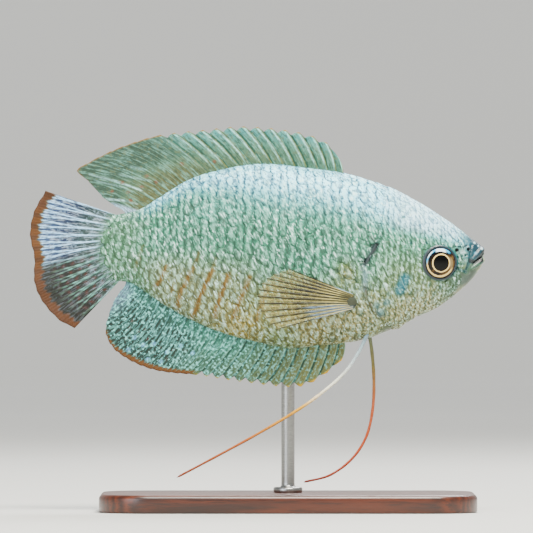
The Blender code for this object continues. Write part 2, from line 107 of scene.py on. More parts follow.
def linear(colour: Array) -> Array:
    """Linear paint for a colour as seen, deepened because the strong light pales it."""
    share = np.clip(np.asarray(colour, float) / 255.0, 0.0, 1.0)
    light = np.where(share <= 0.04045, share / 12.92, ((share + 0.055) / 1.055) ** 2.4)
    deep = light ** PAINT_DEPTH
    grey = (deep * np.array([0.21, 0.72, 0.07])).sum(axis=-1, keepdims=True)
    return np.clip(grey + (deep - grey) * PAINT_RICHNESS, 0.0, 1.0)


def tone(colour: Colour) -> tuple[float, float, float, float]:
    """Colour of a shader socket from sRGB values."""
    return (*linear(np.array(colour)), 1.0)


def to_world(s: Array, h: Array, y: Array) -> Array:
    """World points, in metres, of places on the fish.

    Args:
        s: Distance behind the snout.
        h: Height above the snout.
        y: Distance from the middle plane.

    Returns:
        Array of points with the three coordinates last.
    """
    s, h, y = np.broadcast_arrays(s, h, y)
    return np.stack([SNOUT_X - s, y, SNOUT_Z + h], axis=-1) * MM


@dataclass(frozen=True)
class Curve:
    """Smooth line through rows of numbers that hold the place first."""

    rows: Rows
    by_root: bool = False

    def at(self, x: Array, column: int = 1) -> Array:
        """Value of a column at each place.

        Args:
            x: Places to look up.
            column: Column of the rows to follow.

        Returns:
            The smooth values there.
        """
        places = np.array([row[0] for row in self.rows], float)
        values = np.array([row[column] for row in self.rows], float)
        x = np.asarray(x, float)
        if self.by_root:
            places = np.sqrt(places)
            x = np.sqrt(np.maximum(x, 0.0))
        last = len(places) - 1
        before = np.maximum(np.arange(last + 1) - 1, 0)
        after = np.minimum(np.arange(last + 1) + 1, last)
        slopes = (values[after] - values[before]) / (places[after] - places[before])
        index = np.clip(np.searchsorted(places, x, side="left") - 1, 0, last - 1)
        span = places[index + 1] - places[index]
        t = np.clip((x - places[index]) / span, 0.0, 1.0)
        return ((2 * t ** 3 - 3 * t ** 2 + 1) * values[index]
                + (t ** 3 - 2 * t ** 2 + t) * span * slopes[index]
                + (3 * t ** 2 - 2 * t ** 3) * values[index + 1]
                + (t ** 3 - t ** 2) * span * slopes[index + 1])


def line_through(points: Rows, count: int) -> Array:
    """Evenly numbered points on the smooth line through a few points.

    Args:
        points: Points of the line, each a row of numbers.
        count: Number of points to return.

    Returns:
        Array of count rows.
    """
    curve = Curve(tuple((float(index), *point) for index, point in enumerate(points)))
    numbers = np.linspace(0, len(points) - 1, count)
    return np.stack([curve.at(numbers, column + 1) for column in range(len(points[0]))], axis=-1)


@dataclass(frozen=True)
class BodyForm:
    """Body of the fish: outlines, width and the smooth surface that they give."""

    back: Curve = Curve(
        ((0.0, 0.3), (0.5, 1.5), (2.4, 3.0), (6.2, 5.8), (9.9, 8.2), (15.5, 11.1), (22.7, 13.4), (28.2, 14.2),
         (36.6, 15.0), (43.5, 14.0), (48.8, 12.3), (53.9, 9.2), (57.0, 7.4), (60.5, 6.6)), by_root=True)
    belly: Curve = Curve(
        ((0.0, -0.1), (0.2, -1.3), (1.2, -3.0), (4.3, -6.2), (8.1, -8.9), (11.2, -10.3), (16.0, -12.7),
         (21.0, -14.2), (27.9, -15.0), (32.0, -15.4), (37.9, -14.2), (44.3, -12.4), (50.4, -9.6), (54.6, -7.0),
         (58.0, -4.7), (60.5, -4.2)), by_root=True)
    width: Curve = Curve(
        ((0.0, 0.5), (0.5, 1.05), (1.2, 1.5), (2.4, 2.1), (4.3, 2.9), (7.3, 3.85), (11.0, 4.6), (16.0, 5.15),
         (21.0, 5.25), (28.0, 5.0), (36.0, 4.3), (44.0, 3.3), (52.0, 2.2), (58.0, 1.5), (60.5, 1.2)),
        by_root=True)
    widest_rise: float = 0.1
    back_fullness: float = 0.9
    belly_fullness: float = 1.05
    tail_bulge: float = 2.2
    bulge_start: float = 54.0

    def section(self, s: Array) -> tuple[Array, Array, Array, Array]:
        """Top, bottom, widest height and half width of the sections at s."""
        top, bottom = self.back.at(s), self.belly.at(s)
        widest = (top + bottom) / 2 + self.widest_rise * (top - bottom) / 2
        return top, bottom, widest, self.width.at(s)

    def flank(self, s: Array, h: Array) -> Array:
        """Half width of the body at s and h."""
        top, bottom, widest, half = self.section(s)
        above = np.asarray(h) > widest
        reach = np.where(above, top - widest, widest - bottom)
        power = np.where(above, self.back_fullness, self.belly_fullness)
        level = np.minimum(np.abs(h - widest) / reach, 1.0)
        return half * np.sqrt(1.0 - level ** 2) ** power

    def level(self, s: Array, h: Array) -> Array:
        """Height as a share of the section's reach: 1 on the back, 0 at its widest, -1 on the belly."""
        top, bottom, widest, _ = self.section(s)
        reach = np.where(np.asarray(h) > widest, top - widest, widest - bottom)
        return np.clip((h - widest) / reach, -1.2, 1.2)

    def ring(self, s: Array, angle: Array) -> tuple[Array, Array, Array]:
        """Places on the surface.

        Args:
            s: Distance of each section behind the snout.
            angle: Angle in the section from its widest height, a quarter turn on the back. Past a
                quarter turn it runs down the other side.

        Returns:
            Distance behind the snout, height and distance out of the middle plane.
        """
        top, bottom, widest, half = self.section(s)
        up, out = np.sin(angle), np.cos(angle)
        reach = np.where(up > 0, top - widest, widest - bottom)
        power = np.where(up > 0, self.back_fullness, self.belly_fullness)
        h = widest + up * reach
        y = np.sign(out) * half * np.abs(out) ** power
        ramp = np.clip((s - self.bulge_start) / (BODY_LENGTH - self.bulge_start), 0.0, 1.0)
        height = np.clip((2 * h - top - bottom) / (top - bottom), -1.0, 1.0)
        return s + self.tail_bulge * ramp ** 2 * (1.0 - height ** 2), h, y

    def sheet(self, stations: Array, around: int, past: float = 0.0) -> tuple[Array, ...]:
        """Grid of places on the far half, evenly spaced round each section.

        Args:
            stations: Distances behind the snout.
            around: Number of steps from the back to the belly.
            past: Angle, in degrees, by which the grid runs on over both ridges.

        Returns:
            Distance behind the snout, height, distance out and length round the section from its
            widest height, each as an array of stations by steps.
        """
        reach = math.pi / 2 + math.radians(past)
        fine = np.linspace(reach, -reach, SECTION_STEPS)
        _, h, y = self.ring(stations[:, None], fine[None, :])
        length = np.concatenate([np.zeros((len(stations), 1)),
                                 np.cumsum(np.hypot(np.diff(h, axis=1), np.diff(y, axis=1)), axis=1)], axis=1)
        share = np.linspace(0.0, 1.0, around + 1)
        angle = np.stack([np.interp(share * row[-1], row, fine) for row in length])
        middle = np.array([np.interp(0.0, -fine, row) for row in length])
        arc = middle[:, None] - share[None, :] * length[:, -1:]
        s, h, y = self.ring(stations[:, None], angle)
        return s, h, y, arc


FORM = BodyForm()


@dataclass(frozen=True)
class Swell:
    """Low ridge along a line of the skin, or a groove where its height is negative."""

    height: float
    at: float
    width: float

    def over(self, distance: Array) -> Array:
        """Height at a distance from the line."""
        return self.height * bell(distance - self.at, self.width)


@dataclass(frozen=True)
class GillCover:
    """Free edge of the gill cover as (h, s), its raised rim and the groove in front of it."""

    edge: Curve = Curve(
        ((-14.5, 11.0), (-12.0, 14.4), (-10.2, 17.2), (-8.2, 18.9), (-5.0, 19.9), (-1.5, 19.6), (1.2, 18.3),
         (3.5, 17.3), (9.0, 16.1), (15.0, 14.6)))
    rim: float = 0.32
    reach: float = 2.2
    lip: float = 0.13
    furrow: Swell = Swell(-0.16, -0.38, 0.25)
    groove: Swell = Swell(-0.16, 6.0, 0.55)
    ridge: Swell = Swell(0.07, 5.0, 0.5)

    def before(self, s: Array, h: Array) -> Array:
        """Distance in front of the free edge; it is negative behind it."""
        return self.edge.at(h) - s

    def relief(self, s: Array, h: Array) -> Array:
        """How far the cover stands out of the smooth body."""
        before = self.before(s, h)
        low = smooth(9.5, 5.0, h)
        rim = self.rim * np.where(before > 0, bell(before, self.reach), bell(before, self.lip))
        front = self.groove.over(before) + self.ridge.over(before)
        return rim * (0.25 + 0.75 * low) + self.furrow.over(before) * low + front * smooth(3.5, 0.0, h)


GILL = GillCover()


@dataclass(frozen=True)
class EyeForm:
    """Place and sizes of the eyes."""

    s: float = 7.25
    h: float = -1.3
    radius: float = 2.45
    dome: float = 0.55
    depth: float = 1.7
    sunk: float = 0.1

    def axis(self, side: Side) -> Places:
        """Centre, as (x, y, z) in millimetres of the model, and direction of one eye."""
        step = self.radius
        across = (FORM.flank(self.s + step, self.h) - FORM.flank(self.s - step, self.h)) / (2 * step)
        upward = (FORM.flank(self.s, self.h + step) - FORM.flank(self.s, self.h - step)) / (2 * step)
        normal = np.array([across, side.value, -upward], float)
        out = side.value * (FORM.flank(self.s, self.h) - self.sunk)
        centre = np.array([SNOUT_X - self.s, out, SNOUT_Z + self.h], float)
        return centre, normal / np.linalg.norm(normal)


EYE = EyeForm()

# Nostrils as (s, h)
NOSTRILS: Rows = ((4.5, 0.8), (2.6, 0.9))


@dataclass(frozen=True)
class Mark:
    """Soft spot or streak of colour on the fish, from one place to another."""

    start: tuple[float, float]
    end: tuple[float, float]
    width: float
    colour: Colour
    strength: float = 1.0

    def mask(self, s: Array, h: Array) -> Array:
        """How much of the mark lies at each place."""
        a, b = np.array(self.start), np.array(self.end)
        along = b - a
        length = max(float(along @ along), 1e-9)
        t = np.clip(((s - a[0]) * along[0] + (h - a[1]) * along[1]) / length, 0.0, 1.0)
        distance = np.hypot(s - a[0] - t * along[0], h - a[1] - t * along[1])
        return self.strength * smooth(self.width * 1.25, self.width * 0.45, distance)


def spot(s: float, h: float, width: float, colour: Colour, strength: float = 1.0) -> Mark:
    """Round mark at one place."""
    return Mark((s, h), (s, h), width, colour, strength)


class Coating:
    """sRGB values of many places, which other colours are laid over."""

    def __init__(self, shape: tuple[int, ...], colour: Colour) -> None:
        """Start with one colour everywhere."""
        self.values = np.zeros((*shape, 3)) + np.array(colour, float)

    def lay(self, colour: Colour, mask: Array) -> None:
        """Lay a colour over the values where a mask says."""
        self.values = self.values + (np.array(colour, float) - self.values) * np.clip(mask, 0.0, 1.0)[..., None]

    def marks(self, marks: tuple[Mark, ...], s: Array, h: Array, strength: float = 1.0) -> None:
        """Lay marks at places (s, h)."""
        for mark in marks:
            self.lay(mark.colour, strength * mark.mask(s, h))

    def dots(self, colour: Colour, places: Rows, size: float, s: Array, h: Array) -> None:
        """Lay round dots at places (s, h)."""
        for at_s, at_h in places:
            self.lay(colour, 0.85 * smooth(size, size * 0.45, np.hypot(s - at_s, h - at_h)))


@dataclass(frozen=True)
class Livery:
    """Colours of the living fish by place, with some painted highlights and shade, shared by the skin and the
    scales.
    """

    back: Colour = (186, 230, 244)
    flank: Colour = (114, 158, 140)
    rear_flank: Colour = (146, 152, 126)
    belly: Colour = (172, 166, 132)
    throat: Colour = (178, 172, 140)
    wash: Colour = (186, 168, 116)
    face: Colour = (108, 142, 148)
    cheek: Colour = (138, 150, 119)
    teal: Colour = (30, 72, 78)
    dark: Colour = (14, 26, 30)
    blue: Colour = (104, 138, 150)
    pearl: Colour = (236, 246, 250)
    bar: Colour = (136, 114, 78)
    scale_edge: Colour = (90, 110, 100)
    scale_edge_high: Colour = (72, 106, 124)
    scale_edge_low: Colour = (116, 114, 92)
    scale_edge_head: Colour = (98, 116, 98)

    def head_marks(self) -> tuple[Mark, ...]:
        """Spots and streaks of the head and the gill opening, among them painted highlights on the lips and painted
        shade in the nostrils and the line of the mouth.
        """
        teal, dark, blue, pearl = self.teal, self.dark, self.blue, self.pearl
        marks = [
            Mark((16.9, 3.4), (17.8, 1.6), 0.34, (70, 104, 92), 0.8),
            Mark((17.8, 1.6), (19.9, -1.6), 0.58, (38, 58, 58), 1.0),
            Mark((18.9, 3.0), (18.2, 2.4), 0.34, (40, 54, 40), 0.95), spot(20.1, -2.1, 0.42, pearl, 0.9),
            Mark((19.6, -2.9), (19.7, -5.6), 0.5, (142, 160, 168), 0.7),
            Mark((19.8, -4.9), (18.8, -8.2), 0.2, (96, 98, 84), 0.8),
            Mark((18.8, -8.2), (17.1, -10.1), 0.2, (96, 98, 84), 0.7),
            spot(17.1, -9.4, 0.8, blue, 0.6), spot(16.1, -7.8, 0.7, blue, 0.6), spot(17.8, -8.2, 0.7, blue, 0.55),
            Mark((13.1, -3.9), (13.9, -5.8), 1.0, (84, 132, 148), 0.8), spot(13.0, -5.5, 0.3, teal, 0.8),
            spot(13.35, 6.2, 0.28, teal, 0.75), spot(15.2, 4.4, 0.28, teal, 0.75), spot(12.1, 2.0, 0.28, teal, 0.8),
            spot(9.6, 2.0, 0.26, teal, 0.8), spot(7.1, 3.1, 0.28, teal, 0.75), spot(10.6, 4.9, 0.22, teal, 0.5),
            Mark((4.3, 1.35), (3.5, 1.3), 0.14, dark, 0.7), Mark((3.5, 1.3), (2.9, 1.6), 0.14, dark, 0.7),
            Mark((4.3, -0.3), (2.9, 0.0), 0.18, teal, 0.6), spot(3.6, 0.5, 0.5, pearl, 0.6),
            # Dark nostril openings: painted shade in the pits.
            spot(4.5, 0.8, 0.36, dark, 1.0), spot(2.6, 0.9, 0.34, dark, 1.0),
            Mark((2.2, 1.4), (2.4, -0.9), 0.34, (62, 100, 108), 0.75),
            Mark((2.4, -0.9), (3.1, -2.7), 0.32, (54, 92, 98), 0.8),
            Mark((3.1, -2.8), (4.6, -2.2), 0.26, (58, 96, 98), 0.75),
            Mark((4.6, -2.3), (5.4, -3.4), 0.22, (64, 100, 98), 0.6),
            Mark((4.9, -1.6), (3.4, -1.5), 0.2, teal, 0.35),
            # Dark teal line of the mouth, darkest in its middle: painted shade in the gape under the upper lip.
            Mark((0.2, 0.45), (0.6, -0.7), 0.42, (22, 54, 58), 0.95),
            Mark((0.6, -0.7), (1.4, -1.25), 0.42, dark, 0.95),
            Mark((1.4, -1.25), (2.3, -0.95), 0.42, (22, 54, 58), 0.95),
            Mark((0.5, -1.3), (2.3, -2.0), 0.3, (100, 126, 116), 0.9),
            # Pale front edge of the lower lip, partly a painted highlight.
            Mark((-0.1, 0.1), (0.3, -1.9), 0.2, (204, 206, 184), 0.8),
            Mark((0.35, -1.7), (1.6, -3.4), 0.16, (186, 190, 168), 0.7),
            Mark((1.1, -1.6), (2.6, -2.6), 0.45, (92, 122, 104), 0.7),
            Mark((1.5, -3.0), (3.6, -4.4), 0.5, (92, 112, 102), 0.6),
            # Painted highlights: three near-white spots on the upper lip.
            spot(0.5, 0.95, 0.26, pearl, 0.85), spot(1.6, 2.0, 0.24, pearl, 0.8), spot(0.95, 1.5, 0.22, pearl, 0.8),
            spot(1.5, 0.3, 0.3, (150, 190, 206), 0.7), spot(2.9, -0.9, 0.35, (158, 190, 184), 0.6),
        ]
        for row, (s, h, count) in enumerate(((6.1, -4.9, 5), (7.2, -6.2, 6), (8.6, -7.3, 6))):
            for step in range(count):
                start = (s + 0.95 * step, h + 0.12 * step - 0.1 * row)
                end = (start[0] + 0.3, start[1] - 0.75)
                marks.append(Mark(start, end, 0.16, teal if step % 2 else pearl, 0.42))
        return tuple(marks)

    def gill_bar(self, s: Array, h: Array) -> Array:
        """Mask of the dark, bare stroke along the upper gill opening."""
        return Mark((17.8, 1.6), (19.9, -1.6), 0.6, self.teal).mask(s, h)

    def bars(self) -> tuple[Mark, ...]:
        """Slanted orange-brown bars of the lower rear flank."""
        courses = (
            (0.34, 0.8, ((54.1, -5.1), (53.4, -4.3), (52.8, -2.9), (52.3, -1.8))),
            (0.38, 0.85, ((50.5, -8.7), (50.2, -7.1), (49.8, -5.7), (49.2, -4.9), (48.7, -3.6), (48.0, -2.3))),
            (0.42, 0.95, ((48.0, -10.0), (47.4, -8.9), (46.7, -6.6), (45.8, -4.9), (45.1, -3.2), (44.6, -2.4))),
            (0.42, 0.95, ((44.3, -10.1), (44.1, -8.9), (43.3, -6.6), (42.8, -5.1), (42.1, -3.2))),
            (0.42, 0.85, ((41.2, -10.2), (40.7, -8.7), (40.1, -7.2), (39.3, -5.6), (38.6, -3.6))),
            (0.36, 0.65, ((37.5, -11.0), (37.1, -9.4), (36.4, -7.6), (35.6, -5.6))),
            (0.26, 0.5, ((47.9, -2.1), (47.3, -0.8), (46.9, 0.6))), (0.26, 0.5, ((44.6, -2.2), (44.2, -0.6))),
            (0.22, 0.5, ((57.6, -2.6), (56.9, -0.6), (56.2, 1.6))), (0.26, 0.5, ((51.4, -6.2), (51.2, -5.0))),
        )
        marks = [spot(54.0, -5.0, 0.42, (84, 62, 40), 0.95), spot(47.9, -10.0, 0.3, (64, 60, 36), 0.8),
                 spot(43.4, -6.7, 0.36, (124, 96, 60), 0.8), spot(46.8, -6.7, 0.34, (150, 96, 74), 0.8)]
        for width, strength, course in courses:
            marks += [Mark(a, b, width, self.bar, strength) for a, b in zip(course, course[1:])]
        return tuple(marks)

    def plain(self, s: Array, h: Array) -> Array:
        """Share of each place that a bar, a spot or a streak covers, where no pearl shows."""
        s, h = np.broadcast_arrays(np.asarray(s, float), np.asarray(h, float))
        ring = smooth(EYE.radius + 0.75, EYE.radius + 0.45, np.hypot(s - EYE.s - 0.12, h - EYE.h))
        return np.max([ring, *(mark.mask(s, h) for mark in (*self.bars(), *self.head_marks()))], axis=0)

    def ground(self, s: Array, h: Array) -> Array:
        """Colour of the fish, as sRGB values, at each place.

        Args:
            s: Distance behind the snout.
            h: Height above the snout.

        Returns:
            Array with the three values last.
        """
        s, h = np.broadcast_arrays(np.asarray(s, float), np.asarray(h, float))
        level, behind = FORM.level(s, h), smooth(34.0, 50.0, s)
        base = Coating(s.shape, self.flank)
        base.lay((98, 146, 127), smooth(23.0, 31.0, s))
        base.lay((132, 180, 174), 0.75 * smooth(0.14, 0.5, level) * smooth(54.0, 44.0, s))
        base.lay(self.back, smooth(0.37 + 0.3 * behind, 0.78 + 0.19 * behind, level + 0.15 * smooth(30.0, 14.0, s)))
        rear = smooth(30.0, 42.0, s) * smooth(0.05, -0.45, level)
        base.lay(self.rear_flank, rear * smooth(60.0, 52.0, s))
        base.lay(self.belly, smooth(38.0, 28.0, s) * smooth(-0.15, -0.62, level))
        base.lay(self.wash, 0.8 * bell(s - 39.5, 5.0) * smooth(-0.5, -0.85, level))
        base.lay(self.wash, 0.5 * bell(s - 33.0, 6.0) * bell(level + 0.62, 0.22))
        base.lay(self.cheek, smooth(19.5, 15.0, s) * smooth(0.15, -0.35, level))
        base.lay(self.throat, smooth(20.0, 14.0, s) * smooth(-0.35, -0.8, level))
        base.lay((168, 146, 92), 0.7 * bell(s - 22.6, 1.9) * bell(h + 3.0, 2.1))
        base.lay((226, 240, 250), 0.7 * smooth(18.0, 12.0, s) * smooth(2.0, 4.0, h - 0.16 * (s - 6.0))
                 * smooth(1.0, 3.5, s))
        base.lay(self.face, smooth(5.5, 2.2, s) * smooth(-2.4, -0.6, h) * 0.85)
        base.lay((34, 70, 82), 0.85 * smooth(3.3, 1.5, s) * smooth(-1.2, -0.2, h))
        base.lay((150, 182, 160), 0.45 * bell(s - 16.2, 2.2) * bell(h + 0.6, 2.2))
        base.lay((100, 122, 104), 0.85 * smooth(9.0, 4.5, s) * smooth(-1.6, -2.6, h))
        base.lay((176, 170, 142), 0.55 * smooth(-0.82, -0.96, level) * smooth(15.0, 11.0, s))
        # Painted shade: a darker patch under the chin.
        base.lay((90, 110, 102), 0.7 * bell(s - 3.0, 1.1) * bell(h + 3.9, 1.1))
        eye = np.hypot(s - EYE.s, h - EYE.h)
        base.lay((62, 110, 120), 0.8 * smooth(EYE.radius + 0.8, EYE.radius + 0.3, eye))
        rear_eye = np.hypot(s - EYE.s - 0.14, h - EYE.h)
        base.lay((14, 52, 62), 0.97 * smooth(EYE.radius + 0.5, EYE.radius + 0.28, rear_eye))
        base.lay((112, 142, 118), 0.8 * smooth(54.0, 58.5, s))
        base.marks((*self.bars(), *self.head_marks()), s, h)
        return base.values

    def edge(self, s: Array, h: Array) -> Array:
        """Colour of the dark rear edge of a scale, as sRGB values, at each place."""
        s, h = np.broadcast_arrays(np.asarray(s, float), np.asarray(h, float))
        level, behind = FORM.level(s, h), smooth(34.0, 50.0, s)
        base = Coating(s.shape, self.scale_edge)
        base.lay(self.scale_edge_high, smooth(0.3 + 0.28 * behind, 0.8, level))
        base.lay(self.scale_edge_low, 0.7 * smooth(-0.1, -0.6, level) * smooth(20.0, 30.0, s))
        base.lay((100, 122, 104), 0.7 * smooth(54.0, 59.0, s))
        base.lay(self.scale_edge_head, 0.8 * smooth(19.5, 15.0, s) * smooth(0.5, 0.1, level))
        base.lay((150, 180, 192), 0.8 * smooth(18.0, 12.0, s) * smooth(2.6, 4.6, h - 0.16 * (s - 6.0)))
        base.marks((*self.bars(), *self.head_marks()), s, h, 0.9)
        return base.values


LIVERY = Livery()


LAYERS = {"colour": ("FLOAT_COLOR", "color"), "number": ("FLOAT", "value"), "vector": ("FLOAT_VECTOR", "vector")}


def store(thing: Thing, kind: str, **named: Array) -> None:
    """Store named values on the points of a piece.

    Args:
        thing: The piece.
        kind: colour for sRGB values, which are stored as linear paint, number or vector.
        named: Values by the name of their attribute.
    """
    layer, slot = LAYERS[kind]
    for name, values in named.items():
        if kind == "colour":
            values = np.insert(linear(values).reshape(-1, 3), 3, 1.0, axis=1)
        flat = np.asarray(values, np.float32).ravel()
        thing.data.attributes.new(name, layer, "POINT").data.foreach_set(slot, flat)


def store_uv(thing: Thing, name: str, values: Array) -> None:
    """Store a UV map from a pair of numbers on each point."""
    corners = np.zeros(len(thing.data.loops), np.int32)
    thing.data.loops.foreach_get("vertex_index", corners)
    flat = np.asarray(values, np.float32).reshape(-1, 2)[corners]
    thing.data.uv_layers.new(name=name).uv.foreach_set("vector", flat.ravel())


def placed(name: str, data: bpy.types.ID) -> Thing:
    """New object in the scene for a mesh, a lamp or a camera."""
    thing = bpy.data.objects.new(name, data)
    bpy.context.scene.collection.objects.link(thing)
    return thing


def mesh_object(name: str, points: Array, faces: list | Array) -> Thing:
    """New smooth-shaded object in the scene.

    Args:
        name: Name of the piece.
        points: World points in metres.
        faces: Corner numbers of each face.

    Returns:
        The object, at the origin.
    """
    mesh = bpy.data.meshes.new(name)
    mesh.from_pydata(np.asarray(points, float).reshape(-1, 3).tolist(), [],
                     [list(face) for face in faces])
    mesh.update()
    mesh.shade_smooth()
    return placed(name, mesh)


def face_outwards(thing: Thing) -> None:
    """Turn every face of a closed mesh to point out."""
    shape = bmesh.new()
    shape.from_mesh(thing.data)
    bmesh.ops.recalc_face_normals(shape, faces=shape.faces)
    shape.to_mesh(thing.data)
    shape.free()


def grid_faces(rows: int, columns: int, flip: bool = False, offset: int = 0) -> Array:
    """Quads of a grid of points that are numbered row by row.

    Args:
        rows: Number of rows of points.
        columns: Number of columns of points.
        flip: Whether the faces look the other way.
        offset: Number of the first point.

    Returns:
        Array of four corners a face.
    """
    number = np.arange(rows * columns).reshape(rows, columns) + offset
    quads = np.stack([number[:-1, :-1], number[:-1, 1:], number[1:, 1:], number[1:, :-1]], axis=-1).reshape(-1, 4)
    return quads[:, ::-1] if flip else quads


def ring_faces(rings: int, around: int) -> list[list[int]]:
    """Quads between closed rings of points that are numbered ring by ring."""
    number = np.arange(rings * around).reshape(rings, around)
    after = np.roll(number, -1, axis=1)
    return np.stack([number[:-1], after[:-1], after[1:], number[1:]], axis=-1).reshape(-1, 4).tolist()


def end_faces(rings: int, around: int) -> list[list[int]]:
    """Flat faces that close the first and the last ring."""
    return [list(range(around))[::-1], list(range((rings - 1) * around, rings * around))]


def capped_faces(rings: int, around: int) -> list[tuple[int, ...]]:
    """Faces over closed rings of points that lie between one first and one last point."""
    faces = []
    last = 1 + (rings - 1) * around
    for step in range(around):
        after = (step + 1) % around
        faces.append((0, 1 + step, 1 + after))
        for low in range(1, last, around):
            faces.append((low + step, low + around + step, low + around + after, low + after))
        faces.append((last + after, last + step, last + around))
    return faces


class NodeKit:
    """Adds nodes to a tree and links their inputs."""

    def __init__(self, tree: bpy.types.NodeTree) -> None:
        """Keep the tree."""
        self.tree = tree

    def add(self, kind: str, inputs: dict | None = None, **settings: object) -> bpy.types.Node:
        """Add one node.

        Args:
            kind: Blender's name of the node's type.
            inputs: A socket to link from, or a value to set, for each input by name or number.
            settings: Properties of the node.

        Returns:
            The new node.
        """
        node = self.tree.nodes.new(kind)
        for name, value in settings.items():
            setattr(node, name, value)
        for key, value in (inputs or {}).items():
            self.connect(value, node.inputs[key])
        return node

    def connect(self, value: object, socket: bpy.types.NodeSocket) -> None:
        """Link a socket to an input, or set the input to a value."""
        if isinstance(value, bpy.types.NodeSocket):
            self.tree.links.new(value, socket)
        else:
            socket.default_value = value

    def math(self, operation: str, *values: object) -> object:
        """Result socket of a Math node."""
        return self.add("ShaderNodeMath", dict(enumerate(values)), operation=operation).outputs[0]

    def times(self, first: object, *others: object) -> object:
        """Product of two or more values."""
        for other in others:
            first = self.math("MULTIPLY", first, other)
        return first

    def vector(self, operation: str, *values: object, **scale: object) -> object:
        """Result socket of a Vector Math node."""
        node = self.add("ShaderNodeVectorMath", {**dict(enumerate(values)), **scale}, operation=operation)
        return node.outputs["Value" if operation == "LENGTH" else 0]

    def step(self, value: object, low: float, high: float) -> object:
        """Result socket of a soft step from 0 at low to 1 at high."""
        return self.add("ShaderNodeMapRange", {"Value": value, "From Min": low, "From Max": high},
                        interpolation_type="SMOOTHSTEP").outputs[0]

    def mix(self, factor: object, first: object, second: object, blend: str = "MIX") -> object:
        """Result socket of a mix of two colours, each a socket or sRGB values."""
        first, second = (tone(value) if isinstance(value, tuple) else value for value in (first, second))
        return self.add("ShaderNodeMix", {0: factor, 6: first, 7: second}, data_type="RGBA", blend_type=blend,
                        clamp_factor=True).outputs[2]

    def layers(self, colour: object, *layers: tuple) -> object:
        """Colour with layers of (factor, colour) mixed over it in turn."""
        for factor, over in layers:
            colour = self.mix(factor, colour, over)
        return colour

    def attribute(self, name: str, output: str = "Fac") -> object:
        """Output of a named attribute."""
        return self.add("ShaderNodeAttribute", attribute_name=name).outputs[output]

    def noise(self, vector: object, scale: float, detail: float = 2.0, roughness: float = 0.5) -> object:
        """Value socket of a noise texture."""
        return self.add("ShaderNodeTexNoise", {"Vector": vector, "Scale": scale, "Detail": detail,
                                               "Roughness": roughness}).outputs["Fac"]

    def stretched(self, vector: object, *scale: float) -> object:
        """Vector socket stretched along the axes."""
        return self.add("ShaderNodeMapping", {"Vector": vector, "Scale": scale}).outputs[0]


class Paint(NodeKit):
    """Kit of one new material, with its shader, places on the object and ground colour."""

    def __init__(self, name: str) -> None:
        """Make the material."""
        self.material = bpy.data.materials.new(name)
        self.material.use_nodes = True
        super().__init__(self.material.node_tree)
        self.place = self.add("ShaderNodeTexCoord").outputs["Object"]
        self.ground = self.attribute("ground", "Color")

    def finish(self, bump: tuple | None = None, **values: object) -> Material:
        """Set the shader.

        Args:
            bump: Height, strength and distance of the relief.
            values: A socket or a value for each input, with underscores for spaces.

        Returns:
            The finished material.
        """
        shader = self.tree.nodes["Principled BSDF"]
        if bump:
            height, strength, distance = bump
            values["Normal"] = self.add("ShaderNodeBump", {"Height": height, "Strength": strength,
                                                           "Distance": distance}).outputs[0]
        for name, value in values.items():
            self.connect(value, shader.inputs[name.replace("_", " ")])
        return self.material


@dataclass(frozen=True)
class SkinFinish:
    """Moist, finely mottled skin that shows on the head and between the scales."""

    name: str = "moist skin"
    roughness: float = 0.42
    mottle: float = 0.3
    cell: float = 1300.0
    warp: float = 0.0007
    relief: float = 0.35

    def material(self) -> Material:
        """Build the node tree."""
        kit = Paint(self.name)
        noise = kit.add("ShaderNodeTexNoise", {"Vector": kit.place, "Scale": 900.0, "Detail": 2.0})
        shift = kit.vector("MULTIPLY", noise.outputs["Color"], (self.warp, self.warp, self.warp))
        moved = kit.vector("ADD", kit.place, shift)
        cells = kit.add("ShaderNodeTexVoronoi", {"Vector": moved, "Scale": self.cell}, feature="F1")
        pale = kit.step(cells.outputs["Distance"], 0.55, 0.1)
        bright = kit.step(kit.add("ShaderNodeRGBToBW", {0: kit.ground}).outputs[0], 0.02, 0.22)
        light = kit.mix(kit.times(pale, bright, self.mottle), kit.ground, (226, 236, 234))
        cloud = kit.noise(kit.place, 420.0, 4.0, 0.7)
        shade = kit.mix(kit.step(cloud, 0.52, 0.3), light, (120, 150, 146), "MULTIPLY")
        grain = kit.noise(kit.place, 5200.0, 3.0, 0.6)
        height = kit.math("ADD", kit.times(pale, 0.7), kit.times(grain, 0.5))
        return kit.finish((height, self.relief, 0.00012), Base_Color=kit.mix(0.55, light, shade),
                          Roughness=kit.math("MULTIPLY_ADD", grain, 0.2, self.roughness - 0.1),
                          Specular_IOR_Level=0.6, Coat_Weight=0.15, Coat_Roughness=0.25)


